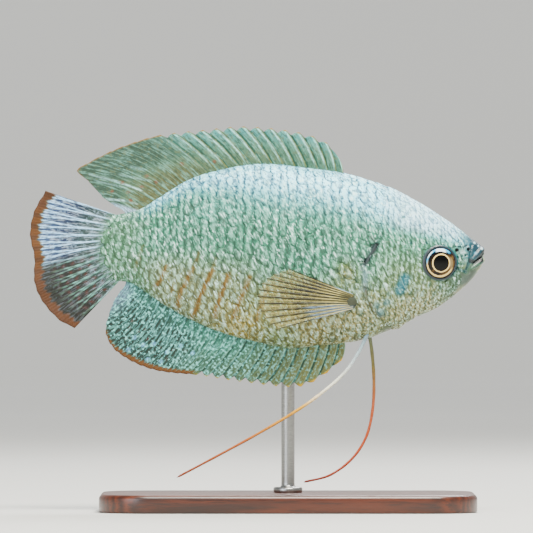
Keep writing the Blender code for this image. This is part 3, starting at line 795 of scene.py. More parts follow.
@dataclass(frozen=True)
class ScaleFinish:
    """Pearly scale with a pale centre, a dark rear edge, painted shade on its overlapped front and tiny painted
    glints.
    """

    name: str = "pearly scale"
    roughness: float = 0.42
    shine: float = 0.1
    pearl: float = 0.5
    rim: float = 0.95
    flecks: float = 0.75
    lean: float = 0.4

    def material(self) -> Material:
        """Build the node tree."""
        kit = Paint(self.name)
        edge, draw = kit.attribute("edge", "Color"), kit.attribute("draw")
        clean = kit.math("MULTIPLY_ADD", kit.attribute("plain"), -0.85, 1.0)
        card = kit.attribute("card", "Vector")
        along = kit.add("ShaderNodeSeparateXYZ", {0: card}).outputs[0]
        broad = kit.math("SUBTRACT", kit.noise(kit.place, 480.0, 3.0, 0.6), 0.5)
        grain = kit.math("SUBTRACT", kit.noise(kit.place, 1500.0, 3.0, 0.65), 0.5)
        x, y, z = kit.add("ShaderNodeSeparateXYZ", {0: kit.place}).outputs
        leaned = kit.math("MULTIPLY_ADD", z, self.lean, x)
        leaning = kit.add("ShaderNodeCombineXYZ", {0: leaned, 1: y, 2: z}).outputs[0]
        fleck = kit.noise(kit.stretched(leaning, 1.0, 1.0, 0.42), 2900.0, 2.0, 0.55)

        def away(centre: tuple[float, float, float], stretch: tuple[float, float, float], rough: float) -> object:
            """Distance on the scale from a place, made ragged by the grain."""
            offset = kit.stretched(kit.vector("SUBTRACT", card, centre), *stretch)
            return kit.math("MULTIPLY_ADD", grain, rough, kit.vector("LENGTH", offset))

        uneven = kit.step(kit.math("MULTIPLY_ADD", draw, 0.35, broad), -0.2, 0.35)
        rim = kit.times(kit.step(away((0.5, 0.5, 0.0), (2.0, 1.0, 0.0), 0.8), 0.64, 0.92),
                        kit.step(along, 0.6, 0.84), kit.math("MULTIPLY_ADD", uneven, -0.5, 1.0),
                        kit.math("MULTIPLY_ADD", kit.step(fleck, 0.57, 0.46), 0.75, 0.25), self.rim)
        blob = kit.times(kit.step(away((0.68, 0.5, 0.0), (2.4, 0.8, 0.0), 1.3), 0.42, 0.12), clean,
                         kit.math("MULTIPLY_ADD", uneven, 0.7, 0.1))
        pale = kit.mix(self.pearl, kit.ground, (212, 243, 234))
        dull = kit.step(kit.math("MULTIPLY_ADD", broad, 1.2, draw), 0.5, 1.0)
        colour = kit.layers(
            # Layer two is painted shade: the front of each scale darkens towards the edge colour, where the scale
            # before it overlaps.
            kit.ground, (blob, pale), (kit.times(kit.step(along, 0.58, 0.42), 0.5), edge),
            (kit.times(dull, clean, 0.45), edge),
            (kit.times(kit.step(fleck, 0.53, 0.62), clean, self.flecks), pale),
            (kit.times(kit.step(fleck, 0.48, 0.39), self.flecks), edge),
            # Painted highlights: tiny near-white glints on the scale.
            (kit.times(kit.step(fleck, 0.61, 0.69), clean, 0.6), (240, 252, 250)), (rim, edge))
        return kit.finish((grain, 0.4, 0.00008), Base_Color=colour, Metallic=self.shine, Specular_IOR_Level=0.35,
                          Roughness=kit.math("MULTIPLY_ADD", fleck, 0.3, self.roughness - 0.12))


@dataclass(frozen=True)
class FinFinish:
    """Fin membrane with fine light and dark streaks along its rays, flecks and a plain margin."""

    name: str
    streak: Colour
    shadow: Colour
    fleck: Colour
    streak_amount: float = 0.5
    shadow_amount: float = 0.5
    fleck_amount: float = 0.3
    streak_scale: tuple[float, float] = (5.0, 3.0)
    fleck_scale: float = 1800.0
    clear: bool = False
    roughness: float = 0.5

    def material(self) -> Material:
        """Build the node tree."""
        kit = Paint(self.name)
        inner = kit.math("SUBTRACT", 1.0, kit.attribute("margin"))
        lie = kit.attribute("lie", "Vector")
        across, along = self.streak_scale
        streaks = kit.noise(kit.stretched(lie, across, along, 1.0), 1.0, 3.0, 0.6)
        shifted = kit.vector("ADD", lie, (7.3, 2.1, 0.0))
        fine = kit.noise(kit.stretched(shifted, across * 1.7, along * 2.2, 1.0), 1.0, 3.0, 0.6)
        specks = kit.noise(kit.place, self.fleck_scale, 2.0, 0.5)
        bright = kit.times(kit.step(streaks, 0.5, 0.62), self.streak_amount, inner)
        colour = kit.layers(
            kit.ground, (bright, self.streak),
            (kit.times(kit.step(fine, 0.5, 0.38), self.shadow_amount, inner), self.shadow),
            (kit.times(kit.step(specks, 0.54, 0.66), self.fleck_amount, inner), self.fleck),
            (kit.times(kit.step(specks, 0.45, 0.35), self.fleck_amount * 0.8, inner), self.shadow))
        clear = {}
        if self.clear:
            see = kit.math("MAXIMUM", kit.step(kit.attribute("ray"), 0.15, 0.8), kit.times(bright, 0.35))
            clear["Alpha"] = kit.math("MAXIMUM", see, 0.12)
        height = kit.math("ADD", streaks, kit.times(specks, 0.5))
        return kit.finish((height, 0.35, 0.0001), Base_Color=colour, Specular_IOR_Level=0.35,
                          Roughness=kit.math("MULTIPLY_ADD", specks, 0.25, self.roughness - 0.1), **clear)


@dataclass(frozen=True)
class FeelerFinish:
    """Waxy feeler whose colour runs from its root to its end."""

    name: str
    stops: tuple[tuple[float, Colour], ...]

    def material(self) -> Material:
        """Build the node tree."""
        kit = Paint(self.name)
        ramp = kit.add("ShaderNodeValToRGB", {0: kit.attribute("along")})
        elements = ramp.color_ramp.elements
        while len(elements) < len(self.stops):
            elements.new(0.5)
        for element, (position, colour) in zip(elements, self.stops):
            element.position = position
            element.color = tone(colour)
        grain = kit.noise(kit.place, 2200.0, 3.0, 0.6)
        colour = kit.mix(kit.times(kit.step(grain, 0.5, 0.3), 0.35), ramp.outputs[0], (150, 110, 50), "MULTIPLY")
        return kit.finish((grain, 0.25, 0.00006), Base_Color=colour, Roughness=0.35, Specular_IOR_Level=0.55)


@dataclass(frozen=True)
class EyeFinish:
    """Glassy eye: black pupil, pale gold rings, a dark brown iris, and a painted blue-white reflection with painted
    glints along its upper edge.
    """

    name: str = "glassy eye"
    pupil: Colour = (3, 4, 8)
    iris: Colour = (46, 40, 36)
    bronze: Colour = (124, 106, 84)
    gold: Colour = (240, 222, 182)
    # The next two colours are painted light: a reflection and small highlights on the eye's upper edge.
    sky: Colour = (132, 196, 226)
    glint: Colour = (244, 252, 255)
    rim: Colour = (16, 44, 52)
    lid: Colour = (10, 18, 34)
    smear: Colour = (150, 138, 116)

    def material(self) -> Material:
        """Build the node tree."""
        kit = Paint(self.name)
        forward, up, _ = kit.add("ShaderNodeSeparateXYZ", {0: kit.attribute("disc", "Vector")}).outputs
        grain = kit.math("SUBTRACT", kit.noise(kit.place, 2600.0, 3.0, 0.6), 0.5)
        broad = kit.math("SUBTRACT", kit.noise(kit.place, 1100.0, 2.0, 0.5), 0.5)

        def radius(shift: float) -> object:
            """Distance from the eye's middle or from a point behind it, made ragged."""
            flat = kit.add("ShaderNodeCombineXYZ", {0: kit.math("ADD", forward, shift), 1: up}).outputs[0]
            return kit.math("MULTIPLY_ADD", grain, 0.05, kit.vector("LENGTH", flat))

        def band(distance: object, low: float, high: float, soft: float) -> object:
            """Soft ring between two radii."""
            inner = kit.step(distance, low - soft, low + soft)
            return kit.times(inner, kit.step(distance, high + soft, high - soft))

        near, far = radius(0.0), radius(0.06)
        streak = kit.step(kit.math("ADD", broad, kit.times(forward, 0.25)), -0.08, 0.2)
        low = kit.math("MULTIPLY_ADD", forward, -0.3, kit.times(up, -1.0))
        tilt = kit.math("MULTIPLY_ADD", forward, -0.45, up)
        side, height = kit.math("ABSOLUTE", forward), kit.math("ABSOLUTE", up)
        colour = kit.layers(
            kit.mix(kit.times(streak, 0.85), self.iris, self.bronze),
            (kit.times(kit.step(up, 0.42, 0.6), 0.9), self.lid),
            (kit.times(band(far, 0.84, 0.96, 0.03), kit.step(low, -0.05, 0.4)), self.gold),
            (kit.times(band(far, 0.66, 0.9, 0.05), kit.step(forward, 0.35, 0.6), kit.step(height, 0.5, 0.2)),
             self.smear),
            # Painted reflection: a pale blue band round the upper edge.
            (kit.times(band(far, 0.86, 1.1, 0.04), kit.step(tilt, 0.25, 0.55), 0.9), self.sky),
            # Painted highlight: a near-white glint at the top.
            (kit.times(band(far, 0.78, 0.97, 0.03), kit.step(side, 0.42, 0.25), kit.step(up, 0.4, 0.6)),
             self.glint),
            # Painted highlight: a second glint at the upper rear edge.
            (kit.times(band(far, 0.88, 0.96, 0.02), kit.step(forward, -0.5, -0.62), kit.step(up, 0.25, 0.45)),
             self.glint),
            (band(near, 0.54, 0.63, 0.025), self.gold), (kit.step(near, 0.57, 0.53), self.pupil),
            (kit.step(near, 0.96, 1.0), self.rim))
        return kit.finish(Base_Color=colour, Roughness=0.18, Specular_IOR_Level=0.12, Coat_Weight=0.12,
                          Coat_Roughness=0.05)


@dataclass(frozen=True)
class WoodFinish:
    """Dark, satin-lacquered wood of the stand's base."""

    name: str = "dark satin wood"

    def material(self) -> Material:
        """Build the node tree."""
        kit = Paint(self.name)
        bend = kit.noise(kit.stretched(kit.place, 18.0, 60.0, 60.0), 1.0, 3.0, 0.5)
        wave = kit.add("ShaderNodeTexWave", {"Vector": kit.stretched(kit.place, 20.0, 300.0, 300.0), "Scale": 1.0,
                                             "Distortion": 6.0, "Detail": 3.0, "Detail Scale": 1.4},
                       bands_direction="Y").outputs["Fac"]
        pores = kit.noise(kit.stretched(kit.place, 140.0, 2600.0, 2600.0), 1.0, 3.0, 0.7)
        colour = kit.layers(kit.mix(wave, (74, 44, 26), (122, 76, 44)), (kit.step(bend, 0.35, 0.7), (96, 58, 34)),
                            (kit.times(kit.step(pores, 0.5, 0.36), 0.6), (40, 24, 15)))
        return kit.finish((pores, 0.2, 0.0001), Base_Color=colour, Coat_Weight=0.3, Coat_Roughness=0.2,
                          Roughness=kit.math("MULTIPLY_ADD", pores, 0.2, 0.28))


@dataclass(frozen=True)
class SteelFinish:
    """Brushed steel of the stand's rod."""

    name: str = "brushed steel"

    def material(self) -> Material:
        """Build the node tree."""
        kit = Paint(self.name)
        brush = kit.noise(kit.stretched(kit.place, 900.0, 900.0, 9000.0), 1.0, 3.0, 0.6)
        return kit.finish(Base_Color=kit.mix(brush, (150, 150, 150), (196, 196, 194)), Metallic=1.0,
                          Roughness=kit.math("MULTIPLY_ADD", brush, 0.25, 0.2))


def dress(piece: Thing, material: Material, slot: str, *nodes: str) -> Thing:
    """Give a finished piece its material and its place in the model.

    Args:
        piece: The finished object.
        material: Its material.
        slot: The record's material slot; not used.
        nodes: Solids that the piece stands for.

    Returns:
        The piece.
    """
    piece.data.materials.clear()
    piece.data.materials.append(material)
    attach(piece, BODY)
    if nodes:
        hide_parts(*nodes)
    log.info("%s: %d faces", piece.name, len(piece.data.polygons))
    return piece


@dataclass
class Lips:
    """Lips and the line of the mouth, as (s, h, distance out) from the middle to the corner."""

    upper: Rows = ((0.65, 0.8, 0.0), (0.75, 0.65, 0.6), (1.15, 0.1, 1.15), (1.95, -0.75, 1.6))
    lower: Rows = ((0.35, -0.85, 0.0), (0.5, -1.0, 0.6), (1.1, -1.55, 1.15), (2.1, -2.2, 1.6))
    gape: Rows = ((0.02, -0.12, 0.0), (0.15, -0.2, 0.65), (0.9, -0.75, 1.35), (1.75, -1.35, 1.75))
    upper_radius: float = 0.72
    lower_radius: float = 0.5
    gape_depth: float = 0.3
    gape_width: float = 0.13

    @staticmethod
    def centres(rows: Rows, count: int = 60) -> Array:
        """Points of a line in millimetres of the model, on the far side."""
        line = line_through(rows, count)
        return to_world(line[:, 0], line[:, 1], line[:, 2]) / MM

    def push(self, points: Array, normals: Array) -> Array:
        """How far each point moves out along its normal to lie on the lips.

        Args:
            points: Points of the smooth body in millimetres.
            normals: Directions out of it.

        Returns:
            The distance out, negative in the line of the mouth.
        """
        moved = np.zeros(len(points))
        for rows, radius in ((self.upper, self.upper_radius), (self.lower, self.lower_radius)):
            line = self.centres(rows)
            taper = radius * (0.65 + 0.35 * np.cos(np.linspace(0.0, math.pi / 2, len(line))))
            apart = np.linalg.norm(points[:, None] - line[None], axis=2)
            nearest = apart.argmin(axis=1)
            rel = points - line[nearest]
            reach = taper[nearest]
            along = (rel * normals).sum(axis=1)
            inside = along ** 2 + reach ** 2 - (rel ** 2).sum(axis=1)
            out = np.where(inside > 0, -along + np.sqrt(np.maximum(inside, 0.0)), 0.0)
            moved = np.maximum(moved, np.maximum(out, 0.0))
        gape = np.linalg.norm(points[:, None] - self.centres(self.gape)[None], axis=2).min(axis=1)
        return moved - self.gape_depth * bell(gape, self.gape_width)


@dataclass
class Skin:
    """One closed skin over the head, the trunk and the tail stem."""

    fine_until: float = 21.0
    fine_stations: int = 205
    rear_stations: int = 95
    around: int = 118
    cap_rings: int = 5
    coat_depth: float = 0.12
    socket_depth: float = 1.0
    nostril_depth: float = 0.45
    eye_rim: Swell = Swell(0.16, 0.2, 0.3)
    eye_furrow: Swell = Swell(-0.1, 0.85, 0.35)
    nostril_rim: Swell = Swell(0.08, 0.36, 0.12)
    pore: Swell = Swell(-0.12, 0.0, 0.17)
    crease: Swell = Swell(-0.16, 0.0, 0.16)
    crease_rim: Swell = Swell(0.05, 0.4, 0.22)
    lips_end: float = 4.5
    lips: Lips = field(default_factory=Lips)
    finish: SkinFinish = SkinFinish()
    pores: Rows = ((13.35, 6.2), (15.2, 4.4), (12.1, 2.0), (9.6, 2.0), (7.1, 3.1), (10.6, 4.9), (13.0, -5.4))
    creases: tuple[Rows, ...] = (((2.1, 1.6), (2.5, -1.1), (3.1, -2.8)), ((3.1, -2.8), (4.5, -2.1)),
                                 ((4.5, -2.3), (5.4, -3.5), (6.4, -4.6)), ((4.3, -0.35), (2.9, 0.0)))

    def stations(self) -> Array:
        """Distances of the rings behind the snout, closer on the head."""
        head = self.fine_until * (np.arange(self.fine_stations) / self.fine_stations) ** 1.5
        rear = np.linspace(self.fine_until, BODY_LENGTH, self.rear_stations)
        return np.concatenate([head, rear])

    def surface(self) -> tuple[Array, Array, Array]:
        """Smooth far half of the body as points, directions out and (s, h), with its blunt front."""
        stations = self.stations()
        s, h, y, _ = FORM.sheet(stations, self.around)
        shrink = (np.arange(1, self.cap_rings) / self.cap_rings)[:, None]
        middle = (h[0].max() + h[0].min()) / 2
        cap = (-0.06 * (1.0 - shrink ** 2) + 0 * h[:1], middle + (h[:1] - middle) * shrink, y[:1] * shrink)
        s, h, y = (np.concatenate([front, whole]) for front, whole in zip(cap, (s, h, y)))
        points = to_world(s, h, y) / MM
        along, round_it = np.gradient(points, axis=0), np.gradient(points, axis=1)
        normals = np.cross(along, round_it)
        normals[:, (0, -1), 1] = 0.0
        middle_row, middle_column = len(points) // 2, points.shape[1] // 2
        normals *= np.sign(normals[middle_row, middle_column, 1])
        normals /= np.maximum(np.linalg.norm(normals, axis=2, keepdims=True), 1e-9)
        return points, normals, np.stack([s, h], axis=-1)

    def relief(self, points: Array, normals: Array, places: Array) -> Array:
        """How far each point stands out of the smooth body."""
        s, h = places[:, 0], places[:, 1]
        out = GILL.relief(s, h) * smooth(0.0, 6.0, s)
        out -= self.coat_depth * (0.5 * smooth(2.5, 5.0, s) + 0.5 * smooth(0.1, -0.4, GILL.before(s, h)))
        centre, axis = EYE.axis(Side.LEFT)
        rel = points - centre
        radial = np.linalg.norm(rel - (rel @ axis)[:, None] * axis, axis=1)
        radial = np.where(points[:, 1] > 0.5, radial, 99.0)
        out += self.eye_rim.over(radial - EYE.radius) + self.eye_furrow.over(radial - EYE.radius)
        out -= self.socket_depth * smooth(EYE.radius + 0.12, EYE.radius - 0.35, radial)
        for at_s, at_h in NOSTRILS:
            away = np.hypot(s - at_s, h - at_h)
            out += self.nostril_rim.over(away) - self.nostril_depth * smooth(0.3, 0.12, away)
        for at_s, at_h in self.pores:
            out += self.pore.over(np.hypot(s - at_s, h - at_h))
        for course in self.creases:
            line = line_through(course, 24)
            away = np.hypot(s[:, None] - line[None, :, 0], h[:, None] - line[None, :, 1]).min(axis=1)
            out += self.crease.over(away) + self.crease_rim.over(away)
        near = s < self.lips_end
        out[near] += self.lips.push(points[near], normals[near])
        return out

    def build(self) -> Thing:
        """Make the skin's mesh with its colours."""
        points, normals, places = self.surface()
        rows, columns = points.shape[:2]
        out = self.relief(points.reshape(-1, 3), normals.reshape(-1, 3), places.reshape(-1, 2))
        half = points + normals * out.reshape(rows, columns, 1)
        half[:, (0, -1), 1] = 0.0
        mirror = half[:, 1:-1][:, ::-1] * np.array([1.0, -1.0, 1.0])
        whole = np.concatenate([half, mirror], axis=1)
        spots = np.concatenate([places, places[:, 1:-1][:, ::-1]], axis=1)
        count = whole.shape[1]
        front, rear, last = rows * count, rows * count + 1, (rows - 1) * count
        fans = [(front, (step + 1) % count, step) for step in range(count)]
        fans += [(rear, last + step, last + (step + 1) % count) for step in range(count)]
        ends = np.stack([whole[0].mean(axis=0) + np.array([0.02, 0.0, 0.0]), whole[-1].mean(axis=0)])
        flat = np.concatenate([whole.reshape(-1, 3), ends])
        skin = mesh_object("fish_skin", flat * MM, [*ring_faces(rows, count), *fans])
        face_outwards(skin)
        end_spots = np.array([[0.0, 0.1], [BODY_LENGTH, 1.0]])
        s, h = np.concatenate([spots.reshape(-1, 2), end_spots]).T
        # Painted shade: behind the gill cover's edge, where the scales lie over it, the skin is darkened towards
        # the scales' edge colour.
        under = smooth(0.3, -0.3, GILL.before(s, h))[:, None]
        colour = LIVERY.ground(s, h)
        colour = colour + (LIVERY.edge(s, h) - colour) * 0.65 * under
        store(skin, "colour", ground=colour)
        return skin

    def dress(self) -> Thing:
        """Build the skin and put it in place of the solids of flesh."""
        return dress(self.build(), self.finish.material(), "skin", "head", "trunk", "tail_stem")


@dataclass
class ScaleCoat:
    """Coat of overlapping scales on the trunk, laid flat on an unwrap of the body and wrapped onto it."""

    name: str = "scales"
    first: float = 9.0
    last: float = BODY_LENGTH - 0.2
    column: float = 1.45
    row: float = 1.6
    length: float = 2.6
    height: float = 2.3
    root_sunk: float = 0.12
    edge_raised: float = 0.09
    thickness: float = 0.045
    root_share: float = 0.42
    curl: float = 0.035
    under_gill: float = 0.35
    jitter: float = 0.27
    lean: float = 0.36
    turn: float = 0.12
    keel: float = 3.0
    segments: int = 18
    rings: int = 4
    patch: float = 0.003
    unwrap_scale: float = 0.01
    bake_span: tuple[float, float] = (70.0, 50.0)
    wrap_before: float = 3.0
    wrap_behind: float = 5.0
    wrap_past: float = 55.0
    seed: int = 11
    wrap_grid: tuple[int, int] = (190, 150)
    finish: ScaleFinish = ScaleFinish()

    def size_at(self, s: float) -> float:
        """Size of the scales of a column as a share of the largest."""
        return 1.0 - 0.42 * float(smooth(42.0, 60.0, s)) - 0.12 * float(smooth(22.0, 15.0, s))

    def keeps(self, s: Array, h: Array) -> Array:
        """Whether a scale may have its root at a place."""
        return (GILL.before(s, h) < self.under_gill) & (LIVERY.gill_bar(s, h) < BARE_FROM)

    def height_at(self, x: float, share: float) -> float:
        """Height of the plate's upper face over the skin."""
        slope = (self.edge_raised + self.root_sunk) / self.length
        return -self.root_sunk + slope * (x + self.root_share * self.length) - self.curl * share ** 4

    def plate(self) -> Thing:
        """One closed scale, flat, with its root at the origin and its free edge towards +X."""
        front = -self.root_share * self.length
        centre = front + self.length / 2

        def corner(share: float, angle: float) -> tuple[float, float]:
            """Place in the plate's outline."""
            x, y = (math.copysign(abs(part) ** 0.8, part) for part in (math.cos(angle), math.sin(angle)))
            return centre + share * x * self.length / 2, share * y * self.height / 2

        points = [(centre, 0.0, self.height_at(centre, 0.0))]
        for ring in range(1, self.rings + 2):
            under = ring > self.rings
            share = 0.98 if under else (ring / self.rings) ** 0.8
            for step in range(self.segments):
                x, y = corner(share, 2 * math.pi * step / self.segments)
                points.append((x, y, self.height_at(x, share) - under * self.thickness))
        points.append((centre, 0.0, self.height_at(centre, 0.0) - self.thickness))
        plate = mesh_object("scale_plate", np.array(points), capped_faces(self.rings + 1, self.segments))
        cards = [((x - front) / self.length, 0.5 + y / self.height, 0.0) for x, y, _ in points]
        store(plate, "vector", card=cards)
        return plate

    def wrap(self, side: Side) -> Thing:
        """Surface of one side, past both ridges, with its unwrap and the colours that it carries."""
        stations = np.linspace(self.first - self.wrap_before, self.last + self.wrap_behind, self.wrap_grid[0])
        stations = np.maximum(stations, 0.4)
        s, h, y, arc = FORM.sheet(np.minimum(stations, BODY_LENGTH), self.wrap_grid[1], past=self.wrap_past)
        s = s + np.maximum(stations - BODY_LENGTH, 0.0)[:, None]
        points = to_world(s, h, y * side.value)
        rows, columns = s.shape
        along, round_it = np.gradient(points, axis=0), np.gradient(points, axis=1)
        normals = np.cross(along, round_it)
        normals /= np.maximum(np.linalg.norm(normals, axis=2, keepdims=True), 1e-12)
        normals *= np.sign(normals[rows // 2, columns // 2, 1]) * side.value
        points = points + normals * self.lift(s, h)[..., None] * MM
        wrap = mesh_object("scale_wrap", points, grid_faces(rows, columns))
        store(wrap, "vector", outward=normals)
        store(wrap, "colour", ground=LIVERY.ground(s, h), edge=LIVERY.edge(s, h))
        store(wrap, "number", plain=LIVERY.plain(s, h))
        flat = np.stack([np.broadcast_to(stations[:, None], arc.shape), arc * side.value], axis=-1)
        store_uv(wrap, "unwrap", flat * self.unwrap_scale)
        return wrap

    def lift(self, s: Array, h: Array) -> Array:
        """Height over the smooth body of the surface that carries the scales."""
        return GILL.relief(s, h) * smooth(-1.2, 0.0, GILL.before(s, h))

    def roots(self, side: Side) -> dict[str, Array]:
        """Roots of the scales on the unwrap, with their sizes and turns.

        Args:
            side: Side of the fish.

        Returns:
            Arrays by name, one row for each scale.
        """
        rng = np.random.default_rng(self.seed + side.value)
        marks = np.linspace(0.5, BODY_LENGTH, 120)
        limits = FORM.sheet(marks, 60)[3]
        places, sizes = [], []
        s, index = self.first, 0
        while s < self.last:
            share = self.size_at(s)
            _, h, _, arc = FORM.sheet(np.array([s]), 200)
            lowest = arc[0, -1] - self.keel
            gap = self.row * share
            steps = np.arange(math.floor(lowest / gap), math.ceil(arc[0, 0] / gap) + 1)
            v = (steps + 0.5 * (index % 2)) * self.row * share
            v = v[(v > lowest) & (v < arc[0, 0] + 0.3)]
            v = v + rng.uniform(-self.jitter, self.jitter, len(v)) * share
            aside = rng.uniform(-self.jitter, self.jitter, len(v)) * share
            at_s = s + self.lean * np.maximum(-v - 1.5, 0.0) + aside
            at_h = np.interp(v, arc[0, ::-1], h[0, ::-1])
            kept = self.keeps(at_s, at_h) & (at_s < self.last)
            upper, lower = (np.interp(at_s, marks, limits[:, edge]) for edge in (0, -1))
            kept &= (v < upper + 0.3) & (v > lower - 0.3)
            places.append(np.stack([at_s, v], axis=-1)[kept])
            sizes.append(np.full(kept.sum(), share))
            s += self.column * share
            index += 1
        s, v = np.concatenate(places).T
        share = np.concatenate(sizes) * rng.uniform(0.93, 1.1, len(s))
        stretch = rng.uniform(0.94, 1.06, len(s))
        return {
            "flat": np.stack([s, v * side.value, rng.uniform(-0.015, 0.015, len(s))], axis=-1),
            "size": np.stack([share * stretch, share / stretch, share], axis=-1),
            "turn": rng.normal(0.0, self.turn, len(s)),
            "draw": rng.uniform(0.0, 1.0, len(s)),
            "bake": np.stack([s / self.bake_span[0] + 0.05, 0.5 + v / self.bake_span[1], np.zeros(len(s))],
                             axis=-1),
        }

    def tree(self) -> bpy.types.NodeTree:
        """Geometry nodes that set a plate on every root and wrap the sheet of plates onto the body."""
        tree = bpy.data.node_groups.new("scale coat", "GeometryNodeTree")
        face = tree.interface
        for name, kind in (("Roots", "NodeSocketGeometry"), ("Plate", "NodeSocketObject"),
                           ("Wrap", "NodeSocketObject"), ("Patch", "NodeSocketFloat"),
                           ("Unwrap", "NodeSocketFloat"), ("Finish", "NodeSocketMaterial")):
            face.new_socket(name, in_out="INPUT", socket_type=kind)
        face.new_socket("Coat", in_out="OUTPUT", socket_type="NodeSocketGeometry")
        kit = NodeKit(tree)
        given = kit.add("NodeGroupInput").outputs

        def named(name: str, kind: str) -> object:
            """Output of a named attribute."""
            node = kit.add("GeometryNodeInputNamedAttribute", {"Name": name}, data_type=kind)
            return node.outputs["Attribute"]

        def keep(sheet: object, name: str, value: object, kind: str, domain: str = "POINT") -> object:
            """Sheet with a value stored on it."""
            return kit.add("GeometryNodeStoreNamedAttribute", {"Geometry": sheet, "Name": name, "Value": value},
                           data_type=kind, domain=domain).outputs[0]

        plate, wrap = (kit.add("GeometryNodeObjectInfo", {"Object": given[name]}).outputs["Geometry"]
                       for name in ("Plate", "Wrap"))
        euler = kit.add("ShaderNodeCombineXYZ", {2: named("turn", "FLOAT")}).outputs[0]
        turn = kit.add("FunctionNodeEulerToRotation", {0: euler}).outputs[0]
        laid = kit.add("GeometryNodeInstanceOnPoints", {"Points": given["Roots"], "Instance": plate,
                                                        "Rotation": turn, "Scale": named("size", "FLOAT_VECTOR")})
        sheet = kit.add("GeometryNodeRealizeInstances", {0: laid.outputs[0]}).outputs[0]
        flat = kit.add("GeometryNodeInputPosition").outputs[0]
        lift = kit.times(kit.add("ShaderNodeSeparateXYZ", {0: flat}).outputs[2], MM)
        place = kit.vector("SCALE", flat, Scale=given["Unwrap"])

        def sampled(value: object, kind: str) -> object:
            """Value of the wrapped surface at a place on its unwrap."""
            return kit.add("GeometryNodeSampleUVSurface", {
                "Mesh": wrap, "Value": value, "UV Map": named("unwrap", "FLOAT_VECTOR"), "Sample UV": place},
                data_type=kind).outputs[0]

        for name, kind in (("ground", "FLOAT_COLOR"), ("edge", "FLOAT_COLOR"), ("plain", "FLOAT")):
            sheet = keep(sheet, name, sampled(named(name, kind), kind), kind)
        out = kit.vector("SCALE", sampled(named("outward", "FLOAT_VECTOR"), "FLOAT_VECTOR"), Scale=lift)
        final = kit.vector("ADD", sampled(flat, "FLOAT_VECTOR"), out)
        bent = kit.add("GeometryNodeSetPosition", {"Geometry": sheet, "Position": final}).outputs[0]
        local = kit.vector("SUBTRACT", named("card", "FLOAT_VECTOR"), (0.5, 0.5, 0.0))
        baked = kit.vector("ADD", named("bake", "FLOAT_VECTOR"), kit.vector("SCALE", local, Scale=given["Patch"]))
        stored = keep(bent, "OFBake", baked, "FLOAT2", "CORNER")
        rounded = kit.add("GeometryNodeSetShadeSmooth", {"Geometry": stored}).outputs[0]
        made = kit.add("GeometryNodeSetMaterial", {"Geometry": rounded, "Material": given["Finish"]}).outputs[0]
        kit.add("NodeGroupOutput", {0: made})
        return tree

    def build(self, side: Side, tree: bpy.types.NodeTree, finish: Material) -> Thing:
        """Make the coat of one side as a plain mesh."""
        roots = self.roots(side)
        plate, wrap = self.plate(), self.wrap(side)
        source = mesh_object("scale_roots", roots["flat"], [])
        store(source, "vector", size=roots["size"], bake=roots["bake"])
        store(source, "number", turn=roots["turn"], draw=roots["draw"])
        coat = grown(source, tree, {"Plate": plate, "Wrap": wrap, "Patch": self.patch,
                                    "Unwrap": self.unwrap_scale, "Finish": finish}, f"{self.name}_{side.word}")
        for scrap in (source, plate, wrap):
            bpy.data.objects.remove(scrap)
        return coat

    def dress(self, tree: bpy.types.NodeTree, finish: Material) -> None:
        """Build both sides and set them over the skin."""
        for side in Side:
            dress(self.build(side, tree, finish), finish, "skin")


@dataclass
class HeadCoat(ScaleCoat):
    """Small, uneven scales of the head: nape, forehead, gill cover and cheek."""

    name: str = "head_scales"
    first: float = 3.3
    last: float = 20.2
    jitter: float = 0.24
    lean: float = 0.1
    turn: float = 0.22
    root_sunk: float = 0.1
    edge_raised: float = 0.06
    segments: int = 14
    rings: int = 3
    wrap_grid: tuple[int, int] = (230, 240)
    gill_gap: float = 0.5
    eye_gap: float = 0.85
    nostril_gap: float = 0.75
    seed: int = 23

    def size_at(self, s: float) -> float:
        """Size of the scales of a column: the smallest are on the snout."""
        return 0.35 + 0.37 * float(smooth(2.0, 19.0, s))

    def keeps(self, s: Array, h: Array) -> Array:
        """Whether a scale may have its root at a place: the eye, nostrils, lips and jaws stay bare."""
        eye = np.hypot(s - EYE.s, h - EYE.h) > EYE.radius + self.eye_gap
        nostrils = np.min([np.hypot(s - a, h - b) for a, b in NOSTRILS], axis=0) > self.nostril_gap
        jaws = (h > 1.5) | ((s > 5.4) & (h > -3.4)) | (s + 0.45 * h > 2.1)
        bare = LIVERY.gill_bar(s, h) >= BARE_FROM
        return (GILL.before(s, h) > self.gill_gap) & eye & nostrils & jaws & ~bare

    def lift(self, s: Array, h: Array) -> Array:
        """Height over the smooth body of the surface that carries the scales."""
        return GILL.relief(s, h) * smooth(0.0, 6.0, s)


def grown(source: Thing, tree: bpy.types.NodeTree, values: dict[str, object], name: str) -> Thing:
    """Plain mesh object that a tree of geometry nodes makes from a source.

    Args:
        source: Object that carries the modifier while it is evaluated.
        tree: The tree.
        values: Value of each named input.
        name: Name of the new piece.

    Returns:
        The new object.
    """
    modifier = source.modifiers.new(name, "NODES")
    modifier.node_group = tree
    for item in tree.interface.items_tree:
        if item.item_type == "SOCKET" and item.in_out == "INPUT" and item.name in values:
            modifier[item.identifier] = values[item.name]
    bpy.context.view_layer.update()
    graph = bpy.context.evaluated_depsgraph_get()
    mesh = bpy.data.meshes.new_from_object(source.evaluated_get(graph))
    source.modifiers.clear()
    mesh.name = name
    return placed(name, mesh)


